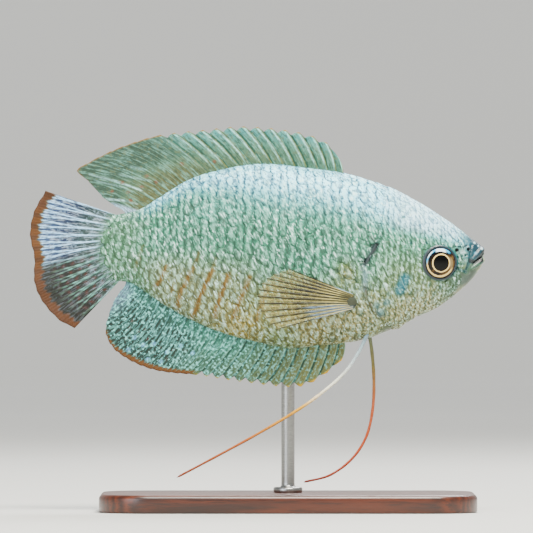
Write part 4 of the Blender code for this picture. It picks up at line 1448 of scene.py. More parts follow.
@dataclass
class Fin:
    """Fin of a thin membrane with raised rays, on the rays of the solid fin."""

    name: str
    rays: int
    rows: int
    finish: FinFinish
    membrane: float = 0.2
    ray_radius: float = 0.15
    ray_rise: float = 0.7
    ray_taper: float = 0.55
    membrane_taper: float = 0.45
    tip_start: float = 0.97
    tip_taper: float = 0.6
    lie_length: float = 6.0
    lie_shift: float = 3.7
    bend: float = 0.35
    sub_columns: tuple[float, ...] = tuple(step / 16 for step in range(16))

    def root_at(self, number: Array) -> Places:
        """Place (s, h) of the root of a ray number."""
        raise NotImplementedError

    def tip_at(self, number: Array) -> Places:
        """Place (s, h) of the tip of a ray number."""
        raise NotImplementedError

    def left(self, number: Array, v: Array) -> Array:
        """Length of a ray that is left at a share of it."""
        return (1.0 - v) * np.hypot(*(a - b for a, b in zip(self.tip_at(number), self.root_at(number))))

    def inset_at(self, number: Array) -> Array:
        """Depth of the margin behind the line of the tips."""
        return np.zeros_like(number)

    def side_at(self, number: Array, v: Array) -> Array:
        """Distance of the membrane from the middle plane."""
        return np.zeros(np.broadcast(number, v).shape)

    def root_half(self, number: Array, v: Array) -> Array:
        """Extra half thickness where the fin grows out of the body."""
        return np.zeros(np.broadcast(number, v).shape)

    def bend_at(self, number: Array) -> Array:
        """How far the middle of a ray lies in front of its straight line."""
        return self.bend + 0 * number

    def place_at(self, number: Array, v: Array) -> Places:
        """Place (s, h) at a share of a ray's length."""
        root, tip = self.root_at(number), self.tip_at(number)
        across, up = tip[0] - root[0], tip[1] - root[1]
        length = np.maximum(np.hypot(across, up), 1e-6)
        bow = 4 * v * (1 - v) * self.bend_at(number)
        return (root[0] + across * v - bow * np.abs(up) / length,
                root[1] + up * v + bow * across * np.sign(up) / length)

    def ray_mask(self, number: Array, v: Array, spacing: Array) -> Array:
        """Share of a ray's height at each point, 1 along its ridge."""
        share = number % 1.0
        apart = np.minimum(share, 1.0 - share) * spacing
        return np.sqrt(np.maximum(1.0 - (apart / (self.ray_radius * (1.0 - self.ray_taper * v))) ** 2, 0.0))

    def colours(self, number: Array, v: Array, ray: Array, s: Array, h: Array) -> Places:
        """Ground colour as sRGB values, and the share of the margin, at each point."""
        raise NotImplementedError

    def columns(self) -> Array:
        """Ray numbers of the columns of points."""
        numbers = [ray + share for ray in range(self.rays - 1) for share in self.sub_columns]
        return np.array([*numbers, float(self.rays - 1)])

    def build(self) -> Thing:
        """Make the fin's closed mesh with its colours."""
        number = self.columns()[:, None]
        share = np.linspace(0.0, 1.0, self.rows + 1)[None, :]
        root, tip = self.root_at(number), self.tip_at(number)
        length = np.hypot(tip[0] - root[0], tip[1] - root[1])
        v = share * (1.0 - self.inset_at(number) / length)
        s, h = self.place_at(number, v)
        ahead, behind = self.place_at(number + 0.5, v), self.place_at(number - 0.5, v)
        spacing = np.maximum(np.hypot(ahead[0] - behind[0], ahead[1] - behind[1]), 0.05)
        ray = self.ray_mask(number, v, spacing)
        half = self.membrane / 2 * (1.0 - self.membrane_taper * v ** 3)
        half = half + self.ray_radius * (1.0 - self.ray_taper * v) * self.ray_rise * ray
        half = half * (1.0 - self.tip_taper * smooth(self.tip_start, 1.0, share)) + self.root_half(number, v)
        y = self.side_at(number, v)
        points = np.stack([to_world(s, h, y - half), to_world(s, h, y + half)])
        columns, rows = s.shape
        shift = columns * rows
        faces = [*grid_faces(columns, rows).tolist(), *grid_faces(columns, rows, True, shift).tolist()]
        index = np.arange(shift).reshape(columns, rows)
        border = [*index[:, 0], *index[-1, 1:], *index[-2::-1, -1], *index[0, -2:0:-1]]
        for a, b in zip(border, border[1:] + border[:1]):
            faces.append((int(a), int(b), int(b) + shift, int(a) + shift))
        fin = mesh_object(self.name, points, faces)
        face_outwards(fin)
        ground, margin = self.colours(number + 0 * v, v, ray, s, h)
        store(fin, "colour", ground=np.stack([ground, ground]))
        store(fin, "number", margin=np.stack([margin, margin]), ray=np.stack([ray, ray]))
        lie = np.stack([number + 0 * v, v * length / self.lie_length, 0 * v], axis=-1)
        store(fin, "vector", lie=np.stack([lie, lie + np.array([0.0, self.lie_shift, 0.0])]))
        return fin

    def dress(self) -> Thing:
        """Build the fin and put it in place of its solid."""
        return dress(self.build(), self.finish.material(), "fin", self.name.removesuffix("_web"))


@dataclass
class DorsalFin(Fin):
    """Dorsal fin: spines with free tips in front, soft rays that fan to a rear corner."""

    keys: Curve = Curve(
        ((0, 23.2, 24.1, 16.3), (1, 24.3, 25.9, 18.5), (3, 27.2, 30.4, 20.2), (7, 34.5, 39.5, 21.2),
         (10, 39.9, 46.3, 20.6), (13, 45.0, 53.3, 19.8), (16, 49.0, 59.6, 17.9), (18, 51.3, 63.6, 16.1),
         (19, 52.4, 65.6, 15.0), (20, 53.6, 67.1, 13.9), (21, 55.2, 65.0, 11.9), (22, 57.0, 62.9, 9.6),
         (23, 58.8, 60.8, 8.0)))
    edge: Curve = FORM.back
    buried: float = -0.8
    spines: int = 14
    straight_after: float = 20.0
    notch: float = 1.0
    ray_rise: float = 0.5
    streaks: tuple[Mark, ...] = (
        Mark((65.0, 13.3), (60.6, 12.1), 0.22, (204, 232, 236), 0.55),
        Mark((60.6, 12.1), (56.6, 10.7), 0.2, (204, 232, 236), 0.75),
        Mark((64.2, 12.3), (59.0, 11.0), 0.16, (190, 220, 222), 0.45),
        Mark((62.3, 9.2), (59.4, 9.0), 0.24, (204, 232, 236), 0.7),
        Mark((59.4, 9.0), (57.2, 8.4), 0.2, (204, 232, 236), 0.55),
        Mark((61.2, 8.0), (56.6, 6.7), 0.75, (196, 214, 236), 0.8),
        Mark((60.0, 13.2), (55.0, 12.2), 0.22, (176, 206, 208), 0.5),
        Mark((58.2, 14.6), (56.0, 14.0), 0.25, (176, 206, 208), 0.5))

    def root_at(self, number: Array) -> Places:
        """Place (s, h) of the root of a ray number."""
        s = self.keys.at(number, 1)
        return s, self.edge.at(s) + self.buried

    def tip_at(self, number: Array) -> Places:
        """Place (s, h) of the tip of a ray number."""
        return self.keys.at(number, 2), self.keys.at(number, 3)

    def bend_at(self, number: Array) -> Array:
        """How far the middle of a ray lies in front of its straight line."""
        bowed = smooth(self.spines - 2, self.spines + 3, number) * smooth(self.rays, self.straight_after, number)
        return self.bend + 0.5 * bowed

    def ray_mask(self, number: Array, v: Array, spacing: Array) -> Array:
        """Share of a ray's height: each soft ray has a branch beside it."""
        soft = smooth(self.spines - 1.5, self.spines + 0.5, number) * smooth(0.15, 0.4, v)
        branch = super().ray_mask(number + 0.5, v, spacing) * soft
        return np.maximum(super().ray_mask(number, v, spacing), branch)

    def inset_at(self, number: Array) -> Array:
        """Depth of the margin: it falls behind each spine and is nearly smooth behind the last."""
        share = number % 1.0
        fall = np.where(share < 0.86, (share / 0.86) ** 1.4, (1.0 - share) / 0.14)
        return fall * self.notch * np.where(number < self.spines - 1, 1.0, 0.15)

    def colours(self, number: Array, v: Array, ray: Array, s: Array, h: Array) -> Places:
        """Ground colour and margin of each point."""
        share = number % 1.0
        soft = smooth(self.spines - 3.0, self.spines + 1.5, number)
        base = Coating(v.shape, (108, 138, 124))
        base.lay((112, 110, 84), (0.35 + 0.5 * soft) * smooth(0.6, 0.15, v) * smooth(3.0, 8.0, number))
        base.lay((118, 164, 164), 0.8 * smooth(0.4, 0.9, v) * (1.0 - 0.7 * soft))
        base.lay((72, 86, 76), 0.75 * soft * smooth(0.35, 0.65, v))
        spiny = 1.0 - soft
        base.lay((206, 236, 232), spiny * smooth(0.02, 0.1, share) * smooth(0.3, 0.14, share)
                     * smooth(0.1, 0.35, v) * 0.85)
        base.lay((44, 84, 74), spiny * 0.85 * smooth(0.72, 0.84, share) * smooth(1.0, 0.93, share))
        base.lay((170, 160, 108), 0.6 * ray * spiny)
        base.lay((138, 170, 156), 0.6 * ray * soft)
        base.marks(self.streaks, s, h)
        base.dots((132, 98, 84), ((61.3, 10.5), (58.6, 10.4), (58.2, 9.0), (56.4, 11.2), (54.0, 12.0),
                                  (59.6, 12.0), (55.6, 13.0), (49.8, 15.0), (44.4, 15.4)), 0.42, s, h)
        left = self.left(number, v)
        margin = smooth(0.45, 0.15, left) * np.where(number < self.spines - 1, smooth(0.55, 0.1, share), 1.0)
        margin = margin * smooth(21.5, 20.2, number)
        base.lay((146, 118, 80), margin)
        return base.values, np.clip(margin, 0.0, 1.0)


@dataclass
class AnalFin(DorsalFin):
    """Anal fin: lappets with yellow tips in front, a rusty margin behind."""

    keys: Curve = Curve(
        ((0, 23.0, 23.5, -17.4), (1, 24.0, 25.8, -19.4), (3, 27.2, 30.1, -21.7), (8, 35.7, 40.2, -20.9),
         (12, 41.8, 47.4, -19.8), (15, 46.3, 51.9, -19.4), (17, 48.9, 55.0, -18.8), (19, 51.2, 58.0, -17.6),
         (21, 53.2, 60.6, -15.9), (22, 54.2, 61.6, -14.7), (23, 55.1, 62.3, -13.2), (24, 56.0, 62.3, -11.5),
         (25, 57.0, 61.8, -9.7), (26, 58.0, 61.1, -7.8), (27, 59.0, 60.0, -6.0)))
    edge: Curve = FORM.belly
    buried: float = 0.8
    ray_radius: float = 0.19
    spines: int = 13
    straight_after: float = 22.0

    def colours(self, number: Array, v: Array, ray: Array, s: Array, h: Array) -> Places:
        """Ground colour and margin of each point."""
        share = number % 1.0
        base = Coating(v.shape, (88, 114, 100))
        base.lay((102, 154, 144), 0.6 * smooth(0.02, 0.15, v) * smooth(0.7, 0.35, v) * smooth(3.0, 11.0, number))
        base.lay((138, 134, 98), smooth(13.0, 2.0, number) * 0.8)
        base.lay((44, 58, 50), 0.85 * smooth(13.0, 17.0, number) * smooth(0.12, 0.36, v)
                     * smooth(27.0, 24.0, number))
        front = smooth(self.spines + 1.0, self.spines - 4.0, number)
        base.lay((28, 62, 56), (0.35 + 0.5 * front) * smooth(0.7, 0.86, share) * smooth(1.0, 0.95, share))
        rear = smooth(13.0, 18.0, number)
        base.lay((168, 200, 186), 0.5 * ray * (1.0 - rear))
        base.lay((148, 192, 192), 0.85 * smooth(0.25, 0.9, ray) * rear)
        base.lay((190, 202, 232), smooth(23.5, 26.0, number) * smooth(0.0, 0.4, v) * 0.7)
        base.lay((40, 60, 56), 0.28 * smooth(15.0, 19.0, number))
        base.dots((160, 200, 226), ((52.2, -16.0), (54.4, -14.6), (56.2, -14.8), (57.6, -13.6), (50.0, -15.0),
                                    (55.4, -17.2), (53.3, -17.6), (58.6, -15.6), (48.0, -16.2)), 0.5, s, h)
        base.dots((92, 62, 54), ((53.4, -15.2), (55.4, -13.8), (57.0, -12.6), (58.4, -12.0), (51.2, -15.6),
                                 (54.6, -16.0), (56.8, -16.0), (59.0, -13.8), (49.2, -15.8), (57.9, -10.9),
                                 (52.3, -17.2), (55.9, -12.3)), 0.36, s, h)
        left = self.left(number, v)
        soft = smooth(self.spines - 1.4, self.spines, number) * smooth(24.0, 23.0, number)
        width = 0.35 + 0.6 * smooth(23.5, 19.0, number)
        edge = soft * smooth(width + 0.15, width - 0.1, left + 0.3 * ray)
        base.lay((116, 88, 6), edge)
        tip = smooth(0.4, 0.1, left) * (1.0 - soft) * smooth(self.spines + 2.0, self.spines, number)
        base.lay((208, 190, 140), tip)
        lappet = smooth(4.4, 2.5, number) * smooth(0.9, 0.3, left)
        base.lay((206, 178, 110), lappet)
        return base.values, np.clip(edge + tip + lappet + 0.5 * smooth(10.0, 3.0, number), 0.0, 1.0)


@dataclass
class CaudalFin(Fin):
    """Tail fin: a folded fan of rays that branch twice, with a rusty margin."""

    keys: Curve = Curve(
        ((0, 72.3, 10.6), (2, 74.2, 7.2), (4, 74.9, 3.4), (6, 74.2, -0.4), (8, 74.2, -4.3), (10, 72.9, -7.6),
         (12, 70.0, -10.8), (13, 67.5, -12.1)))
    root_top: float = 6.3
    root_bottom: float = -3.9
    root_thickness: float = 2.0
    fold: float = 1.3
    buried: float = 0.8
    bend: float = 0.0

    def root_at(self, number: Array) -> Places:
        """Place (s, h) of the root of a ray number."""
        share = number / (self.rays - 1)
        h = self.root_top + (self.root_bottom - self.root_top) * share
        return BODY_LENGTH - self.buried + FORM.tail_bulge * (1.0 - (2 * share - 1.0) ** 2), h

    def tip_at(self, number: Array) -> Places:
        """Place (s, h) of the tip of a ray number."""
        return self.keys.at(number, 1), self.keys.at(number, 2)

    def inset_at(self, number: Array) -> Array:
        """Shallow scallops between the rays."""
        return 0.12 * (1.0 - np.abs(2 * (number % 1.0) - 1.0)) + 0.05 * np.sin(number * 21.0) ** 2

    def side_at(self, number: Array, v: Array) -> Array:
        """Distance of the folded fan from the middle plane."""
        share = number / (self.rays - 1)
        wave = 0.12 * np.sin(number * 1.9 + 0.6) * smooth(0.3, 1.0, v)
        return self.fold * v ** 2 * (1.0 - (2 * share - 1.0) ** 2) + wave

    def root_half(self, number: Array, v: Array) -> Array:
        """Extra half thickness where the fin grows out of the tail stem."""
        middle = 1.0 - (2 * number / (self.rays - 1) - 1.0) ** 2
        return (self.root_thickness - self.membrane) / 2 * middle * np.maximum(1.0 - 2.4 * v, 0.0) ** 2

    def ray_mask(self, number: Array, v: Array, spacing: Array) -> Array:
        """Share of a ray's height: each ray splits in two and again in four towards its tip."""
        share = (number + 0.5) % 1.0 - 0.5
        first = 0.25 * smooth(0.2, 0.85, v)
        second = 0.125 * smooth(0.55, 1.0, v)
        apart = np.abs(np.abs(np.abs(share) - first) - second) * spacing
        return np.sqrt(np.maximum(1.0 - (apart / (self.ray_radius * (1.15 - 0.6 * v))) ** 2, 0.0))

    def colours(self, number: Array, v: Array, ray: Array, s: Array, h: Array) -> Places:
        """Ground colour and margin of each point."""
        upper = smooth(7.6, 6.2, number)
        base = Coating(v.shape, (78, 96, 92))
        base.lay((58, 72, 98), upper * smooth(0.3, 0.6, v))
        base.lay((160, 182, 210), 0.3 * upper * smooth(0.5, 0.8, v))
        base.lay((34, 32, 20), (1.0 - upper) * smooth(0.2, 0.6, v) * 0.9)
        bright = 0.95 * smooth(0.2, 0.75, ray)
        base.lay((200, 228, 250), bright * upper)
        dash = 0.6 + 0.4 * smooth(-0.3, 0.5, np.sin(v * 46.0 + number * 7.3))
        base.lay((146, 184, 176), bright * (1.0 - upper) * smooth(0.95, 0.5, v) * dash)
        base.lay((132, 164, 142), smooth(0.22, 0.06, v) * 0.85)
        rings = bell((v * 8.0 + 0.35 * np.sin(number * 3.1)) % 1.0 - 0.5, 0.2) * bell(number % 1.0 - 0.5, 0.22)
        rusty = rings * (1.0 - upper) * smooth(0.1, 0.3, v) * smooth(0.85, 0.6, v)
        base.lay((96, 58, 46), 0.95 * rusty)
        left = self.left(number, v)
        reach = 1.55 + 0.25 * np.sin(number * 5.3) + 0.2 * np.sin(number * 13.7)
        rear = smooth(reach + 0.25, reach - 0.25, left)
        base.lay((118, 88, 4), rear)
        base.lay((82, 60, 4), rear * smooth(-0.2, 0.8, np.sin(number * 6.28)) * 0.4)
        base.lay((98, 70, 4), rear * np.maximum(smooth(6.0, 9.0, number), smooth(2.6, 1.0, number)) * 0.7)
        quiet = 0.85 * (1.0 - upper) * smooth(0.2, 0.5, v)
        return base.values, np.maximum(rear, quiet)


@dataclass
class PectoralFin(Fin):
    """Pectoral fin: olive rays on a clear membrane, folded back along the flank."""

    side: Side = Side.RIGHT
    bend: float = 0.0
    root_s: float = 21.6
    root_h: float = -7.7
    keys: Curve = Curve(
        ((0, -6.4, 32.2, -2.2), (3, -7.0, 35.8, -3.8), (6, -7.7, 37.4, -6.8), (9, -8.4, 36.2, -10.4),
         (11, -8.9, 34.2, -12.3)))
    standoff: float = 0.15
    flare: float = 0.085
    membrane: float = 0.08
    ray_radius: float = 0.31
    ray_rise: float = 0.5
    lobe: tuple[float, float, float] = (1.15, 0.45, 1.3)

    def root_at(self, number: Array) -> Places:
        """Place (s, h) of the root of a ray number."""
        return self.root_s + 0 * number, self.keys.at(number, 1)

    def tip_at(self, number: Array) -> Places:
        """Place (s, h) of the tip of a ray number."""
        return self.keys.at(number, 2), self.keys.at(number, 3)

    def inset_at(self, number: Array) -> Array:
        """Margin drawn in between the rays."""
        return 0.5 * (1.0 - np.abs(2 * (number % 1.0) - 1.0))

    def side_at(self, number: Array, v: Array) -> Array:
        """Distance from the middle plane, flaring off the flank."""
        length = self.tip_at(number)[0] - self.root_s
        middle = FORM.flank(self.root_s, self.root_h)
        return self.side.value * (middle + self.standoff + self.flare * length * v)

    def ray_mask(self, number: Array, v: Array, spacing: Array) -> Array:
        """Share of a ray's height: a lower, pale strand lies beside each dark ray."""
        strand = 0.5 * super().ray_mask(number - 0.42, v, spacing) ** 3
        return np.maximum(super().ray_mask(number, v, spacing), strand)

    def colours(self, number: Array, v: Array, ray: Array, s: Array, h: Array) -> Places:
        """Ground colour and margin of each point."""
        share = number % 1.0
        base = Coating(v.shape, (204, 198, 160))
        core = smooth(0.05, 0.4, ray) * smooth(0.38, 0.28, np.minimum(share, 1.0 - share))
        base.lay((54, 54, 32), core)
        base.lay((34, 38, 32), core * smooth(6.0, 3.0, number) * bell(v - 0.42, 0.25))
        base.lay((150, 170, 194), core * smooth(6.5, 8.0, number) * smooth(0.62, 0.45, v) * 0.75)
        base.lay((60, 66, 74), core * smooth(5.5, 7.0, number) * bell((v * 9.0 + number) % 1.0 - 0.5, 0.16)
                     * smooth(0.62, 0.45, v) * 0.8)
        # Painted highlight: pale blue-white on the root of the top ray.
        base.lay((158, 188, 206), core * smooth(0.9, 0.2, number) * smooth(0.34, 0.22, v))
        base.lay((64, 64, 48), 0.85 * smooth(0.2, 0.05, v) * bell(number - 4.0, 2.6))
        return base.values, 0.7 * core

    def root_lobe(self) -> Thing:
        """Fleshy root of the fin."""
        builder = bmesh.new()
        bmesh.ops.create_uvsphere(builder, u_segments=32, v_segments=20, radius=MM)
        middle = self.side.value * FORM.flank(self.root_s, self.root_h)
        centre = Vector(to_world(self.root_s + 0.5, self.root_h, middle).tolist())
        bmesh.ops.transform(builder, matrix=Matrix.Translation(centre) @ Matrix.Diagonal((*self.lobe, 1.0)),
                            verts=builder.verts)
        mesh = bpy.data.meshes.new("lobe")
        builder.to_mesh(mesh)
        builder.free()
        mesh.shade_smooth()
        lobe = placed(f"pectoral_root_{self.side.word}", mesh)
        points = np.zeros(len(mesh.vertices) * 3)
        mesh.vertices.foreach_get("co", points)
        x, _, z = points.reshape(-1, 3).T / MM
        s, h = SNOUT_X - x, z - SNOUT_Z
        base = Coating(s.shape, (104, 112, 88))
        base.lay((130, 164, 178), 0.7 * bell(h + 7.1 - 0.2 * (s - 21.5), 0.3))
        base.lay((30, 36, 34), smooth(0.9, 0.5, np.hypot((s - 21.2) * 0.8, h + 6.2)))
        base.lay((122, 144, 160), 0.7 * bell(h + 8.5 + 0.1 * (s - 21.5), 0.3))
        base.lay((52, 68, 72), bell(s - 21.4, 0.3) * bell(h + 8.3, 0.2))
        base.lay((66, 70, 52), 0.8 * smooth(1.5, 0.6, np.hypot((s - 22.0) * 0.8, h + 7.5)))
        store(lobe, "colour", ground=base.values)
        return lobe


@dataclass
class Feeler:
    """Long, thin pelvic feeler on a smooth line."""

    side: Side
    line: Rows
    finish: FeelerFinish
    root_radius: float = 0.31
    tip_radius: float = 0.17
    knots: float = 0.05
    knot_turns: float = 60.0
    blunt: float = 0.012
    points: int = 90
    sides: int = 14

    def build(self) -> Thing:
        """Make the closed, tapering tube."""
        line = line_through(self.line, self.points)
        centres = to_world(line[:, 0], line[:, 1], line[:, 2] * self.side.value)
        share = np.linspace(0.0, 1.0, self.points)
        radius = (self.root_radius + (self.tip_radius - self.root_radius) * share) * MM
        radius *= 1.0 + self.knots * np.sin(share * self.knot_turns)
        radius *= np.sqrt(np.clip((1.0 - share) / self.blunt, 0.02, 1.0))
        ahead = np.gradient(centres, axis=0)
        ahead /= np.linalg.norm(ahead, axis=1, keepdims=True)
        first = np.cross(ahead, np.array([0.0, 1.0, 0.0]))
        first /= np.linalg.norm(first, axis=1, keepdims=True)
        second = np.cross(ahead, first)
        angle = np.linspace(0.0, 2 * math.pi, self.sides, endpoint=False)
        ring = np.cos(angle)[None, :, None] * first[:, None] + np.sin(angle)[None, :, None] * second[:, None]
        points = centres[:, None] + ring * radius[:, None, None]
        faces = ring_faces(self.points, self.sides) + end_faces(self.points, self.sides)
        feeler = mesh_object(f"pelvic_feeler_{self.side.word}_skin", points, faces)
        face_outwards(feeler)
        store(feeler, "number", along=np.repeat(share, self.sides))
        return feeler

    def dress(self) -> Thing:
        """Build the feeler and put it in place of its solid."""
        return dress(self.build(), self.finish.material(), "feeler", f"pelvic_feeler_{self.side.word}")


@dataclass
class Eye:
    """Eyeball with a low dome."""

    side: Side
    around: int = 72
    dome_steps: int = 26
    back_steps: int = 10

    def build(self) -> Thing:
        """Turn the eye's profile round its axis."""
        profile = []
        for step in range(1, self.dome_steps + 1):
            turn = step / self.dome_steps * math.pi / 2
            profile.append((EYE.radius * math.sin(turn), EYE.dome * math.cos(turn)))
        for step in range(1, self.back_steps):
            turn = step / self.back_steps * math.pi / 2
            profile.append((EYE.radius * math.cos(turn) ** 0.7, -EYE.depth * math.sin(turn)))
        centre, axis = EYE.axis(self.side)
        across = np.array([1.0, 0.0, 0.0]) - axis[0] * axis
        across /= np.linalg.norm(across)
        up = np.array([0.0, 0.0, 1.0]) - axis[2] * axis
        up -= (up @ across) * across
        up /= np.linalg.norm(up)
        angle = np.linspace(0.0, 2 * math.pi, self.around, endpoint=False)
        points = [centre + EYE.dome * axis]
        disc = [(0.0, 0.0, 0.0)]
        for radius, height in profile:
            for turn in angle:
                flat = (math.cos(turn) * radius, math.sin(turn) * radius)
                points.append(centre + flat[0] * across + flat[1] * up + height * axis)
                disc.append((flat[0] / EYE.radius, flat[1] / EYE.radius, 0.0))
        points.append(centre - EYE.depth * axis)
        disc.append((0.0, 0.0, 0.0))
        faces = capped_faces(len(profile), self.around)
        eye = mesh_object(f"eye_{self.side.word}_ball", np.array(points) * MM, faces)
        face_outwards(eye)
        store(eye, "vector", disc=disc)
        return eye

    def dress(self, material: Material) -> Thing:
        """Build the eye and put it in place of its solid."""
        return dress(self.build(), material, "eye", f"eye_{self.side.word}")


@dataclass
class Stand:
    """Plain display stand: a wooden base with round edges and one steel rod with a collar."""

    size: tuple[float, float, float] = (62.0, 34.0, 3.0)
    corner: float = 8.0
    edge: float = 0.8
    foot: Rows = ((0.35, 0.0), (0.1, 0.12), (0.0, 0.35))
    top_inset: float = 2.2
    corner_steps: int = 12
    edge_steps: int = 7
    rod_radius: float = 1.1
    rod_s: float = 32.3
    rod_y: float = 2.3
    rod_rise: float = 8.0
    rod_steps: int = 60
    around: int = 48
    collar_radius: float = 2.4
    collar_height: float = 0.9
    fillet: float = 0.25
    bevel: float = 0.15
    shoulder_bevel: float = 0.2

    def base(self) -> Thing:
        """Base plate, lofted through rounded outlines from its underside to its top."""
        def outline(inset: float) -> list[tuple[float, float]]:
            """Rounded rectangle that lies inside the base's outline."""
            half_x, half_y = self.size[0] / 2 - self.corner, self.size[1] / 2 - self.corner
            points = []
            for corner, (sx, sy) in enumerate(((1, 1), (-1, 1), (-1, -1), (1, -1))):
                for step in range(self.corner_steps + 1):
                    turn = (corner + step / self.corner_steps) * math.pi / 2
                    points.append((sx * half_x + (self.corner - inset) * math.cos(turn),
                                   sy * half_y + (self.corner - inset) * math.sin(turn)))
            return points

        levels = [*self.foot, (0.0, self.size[2] - self.edge)]
        for step in range(1, self.edge_steps + 1):
            turn = step / self.edge_steps * math.pi / 2
            levels.append((self.edge * (1 - math.cos(turn)), self.size[2] - self.edge * (1 - math.sin(turn))))
        levels.append((self.top_inset, self.size[2]))
        points = [(x, y, z) for inset, z in levels for x, y in outline(inset)]
        rings, around = len(levels), len(points) // len(levels)
        faces = ring_faces(rings, around) + end_faces(rings, around)
        base = mesh_object("stand_base_board", np.array(points) * MM, faces)
        face_outwards(base)
        return base

    def rod(self) -> Thing:
        """Rod with its collar, turned in one piece, up into the belly."""
        top = SNOUT_Z + float(FORM.belly.at(self.rod_s)) + self.rod_rise
        floor, shoulder = self.size[2], self.size[2] + self.collar_height
        foot = shoulder + self.fillet
        profile = [(self.collar_radius - self.bevel, floor), (self.collar_radius, floor + self.bevel),
                   (self.collar_radius, shoulder - self.shoulder_bevel),
                   (self.collar_radius - self.shoulder_bevel, shoulder),
                   (self.rod_radius + self.fillet, shoulder), (self.rod_radius, foot)]
        profile += [(self.rod_radius, foot + (top - foot) * step / self.rod_steps)
                    for step in range(1, self.rod_steps + 1)]
        points = []
        for radius, z in profile:
            for step in range(self.around):
                turn = 2 * math.pi * step / self.around
                points.append((SNOUT_X - self.rod_s + radius * math.cos(turn),
                               self.rod_y + radius * math.sin(turn), z))
        faces = ring_faces(len(profile), self.around) + end_faces(len(profile), self.around)
        rod = mesh_object("stand_rod_bar", np.array(points) * MM, faces)
        face_outwards(rod)
        return rod

    def dress(self) -> None:
        """Build the base and the rod and put them in place of their solids."""
        dress(self.base(), WoodFinish().material(), "stand_wood", "stand_base")
        dress(self.rod(), SteelFinish().material(), "stand_steel", "stand_rod")


@dataclass
class Studio:
    """Round pale floor, soft light and the camera of the photograph's view."""

    camera_at: tuple[float, float, float] = (-3.54, -1464.0, 40.3)
    lens: float = 600.0
    floor_tone: Colour = (206, 206, 203)
    floor_flat: float = 1.7
    floor_bend: float = 0.5
    floor_rise: float = 1.1
    glow: float = 0.52
    lit: tuple[float, float, float] = (0.0, 0.0, 0.04)
    lamps: tuple[tuple, ...] = (("key", (0.08, -0.22, 0.52), 0.28, 10.5, (255, 252, 246)),
                                ("fill", (-0.4, -0.5, 0.2), 0.4, 3.0, (244, 248, 255)),
                                ("rim", (0.1, 0.3, 0.4), 0.3, 4.0, (255, 255, 255)))
    room_tone: Colour = (236, 238, 240)
    room_strength: float = 0.5
    bend_steps: int = 16
    around: int = 96

    def floor(self) -> None:
        """Floor whose rim curves up all round, outside the ring from which any view looks."""
        turns = np.linspace(0.0, math.pi / 2, self.bend_steps + 1)
        radius = np.array([0.02, 0.3, 0.8, *(self.floor_flat + self.floor_bend * np.sin(turns)),
                           self.floor_flat + self.floor_bend])
        height = np.array([0.0, 0.0, 0.0, *(self.floor_bend * (1.0 - np.cos(turns))), self.floor_rise])
        around = np.linspace(0.0, 2 * math.pi, self.around, endpoint=False)
        points = np.stack([radius[:, None] * np.cos(around), radius[:, None] * np.sin(around),
                           np.broadcast_to(height[:, None], (len(radius), len(around)))], axis=-1)
        faces = ring_faces(*points.shape[:2]) + end_faces(*points.shape[:2])[:1]
        floor = mesh_object("studio_floor", points, faces)
        kit = Paint("pale floor")
        far = kit.vector("LENGTH", kit.vector("MULTIPLY", kit.place, (1.0, 1.0, 0.0)))
        floor.data.materials.append(kit.finish(
            Base_Color=kit.mix(kit.noise(kit.place, 5.0, 2.0, 0.5), self.floor_tone, (212, 212, 210)),
            Emission_Strength=kit.times(kit.step(far, 0.12, 0.95), self.glow),
            Emission_Color=tone((238, 238, 236)), Roughness=0.8))

    def lamp(self, name: str, at: tuple[float, float, float], size: float, power: float, colour: Colour) -> None:
        """One square area lamp that looks at the fish."""
        data = bpy.data.lights.new(name, "AREA")
        data.shape = "SQUARE"
        data.size = size
        data.energy = power
        data.color = tone(colour)[:3]
        lamp = placed(name, data)
        lamp.location = at
        lamp.rotation_euler = (Vector(self.lit) - Vector(at)).to_track_quat("-Z", "Y").to_euler()

    def light(self) -> None:
        """Soft key from above in front, fill and a pale world."""
        for lamp in self.lamps:
            self.lamp(*lamp)
        world = bpy.data.worlds.new("pale room")
        bpy.context.scene.world = world
        world.use_nodes = True
        background = world.node_tree.nodes["Background"]
        background.inputs[0].default_value = tone(self.room_tone)
        background.inputs[1].default_value = self.room_strength

    def camera(self) -> None:
        """Camera square to the fish's right side."""
        data = bpy.data.cameras.new("camera")
        data.lens = self.lens
        data.sensor_width = 36.0
        data.clip_start = 0.01
        data.clip_end = 20.0
        camera = placed("camera", data)
        camera.location = Vector(self.camera_at) * MM
        camera.rotation_euler = (math.pi / 2, 0.0, 0.0)
        bpy.context.scene.camera = camera

    def dress(self) -> None:
        """Set up floor, light and camera."""
        self.floor()
        self.light()
        self.camera()


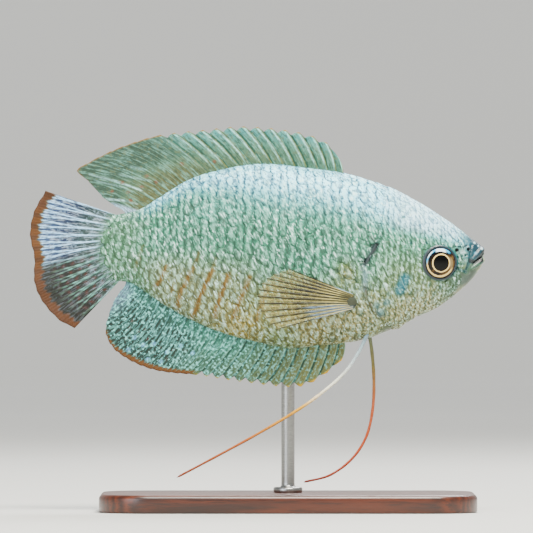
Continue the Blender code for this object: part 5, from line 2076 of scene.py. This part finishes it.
RIGHT_FEELER: Rows = (
    (19.2, -13.0, 1.3), (20.9, -16.4, 1.9), (23.2, -19.6, 2.4), (27.4, -23.2, 2.9), (31.5, -26.0, 3.2),
    (37.6, -29.6, 3.4), (44.2, -33.2, 3.4), (50.6, -36.6, 3.2))
LEFT_FEELER: Rows = (
    (18.9, -12.9, 1.3), (18.4, -16.4, 2.0), (18.1, -20.9, 2.8), (18.3, -25.5, 3.6), (19.3, -29.9, 4.4),
    (21.6, -33.6, 5.2), (25.3, -36.4, 5.9), (29.7, -37.6, 6.4))
NEAR_STOPS = ((0.0, (150, 170, 178)), (0.2, (196, 204, 206)), (0.38, (238, 236, 222)), (0.52, (214, 182, 96)),
              (0.75, (176, 122, 52)), (1.0, (150, 92, 40)))
FAR_STOPS = ((0.0, (120, 132, 112)), (0.2, (136, 128, 78)), (0.4, (186, 120, 74)), (0.65, (196, 118, 70)),
             (1.0, (150, 84, 44)))


def make_fish() -> None:
    """Build every piece of the fish."""
    Skin().dress()
    coat = ScaleCoat()
    tree, pearl = coat.tree(), coat.finish.material()
    coat.dress(tree, pearl)
    HeadCoat().dress(tree, pearl)
    spiny = FinFinish("dorsal membrane", (152, 186, 176), (62, 78, 66), (124, 132, 108), 0.5, 0.65, 0.45,
                      (4.0, 2.0))
    DorsalFin("dorsal_fin_web", 24, 44, spiny).dress()
    turquoise = FinFinish("anal membrane", (166, 214, 208), (50, 74, 66), (184, 234, 230), 0.4, 0.6, 0.6,
                          (4.0, 4.0), 2300.0)
    AnalFin("anal_fin_web", 28, 40, turquoise).dress()
    fan = FinFinish("tail membrane", (222, 232, 242), (34, 40, 48), (190, 210, 224), 0.35, 0.65, 0.25, (7.0, 3.0))
    CaudalFin("caudal_fin_web", 14, 56, fan).dress()
    clear = FinFinish("pectoral membrane", (224, 214, 160), (60, 60, 30), (230, 226, 190), 0.35, 0.3, 0.2,
                      (4.0, 2.0), clear=True)
    dull = SkinFinish("fin root", roughness=0.75, mottle=0.06).material()
    glass = EyeFinish().material()
    for side in Side:
        fin = PectoralFin(f"pectoral_fin_{side.word}_web", 12, 40, clear, side=side)
        fin.dress()
        dress(fin.root_lobe(), dull, "skin")
        Eye(side).dress(glass)
    Feeler(Side.RIGHT, RIGHT_FEELER, FeelerFinish("near feeler", NEAR_STOPS)).dress()
    Feeler(Side.LEFT, LEFT_FEELER, FeelerFinish("far feeler", FAR_STOPS)).dress()


def write_sizes() -> None:
    """Update the view layer so that every piece is evaluated."""
    bpy.context.view_layer.update()


def main() -> None:
    """Build the dressed model and its studio."""
    logging.basicConfig(level=logging.INFO, format="%(name)s %(message)s")
    make_fish()
    Stand().dress()
    Studio().dress()
    write_sizes()


if __name__ == "__main__":
    main()
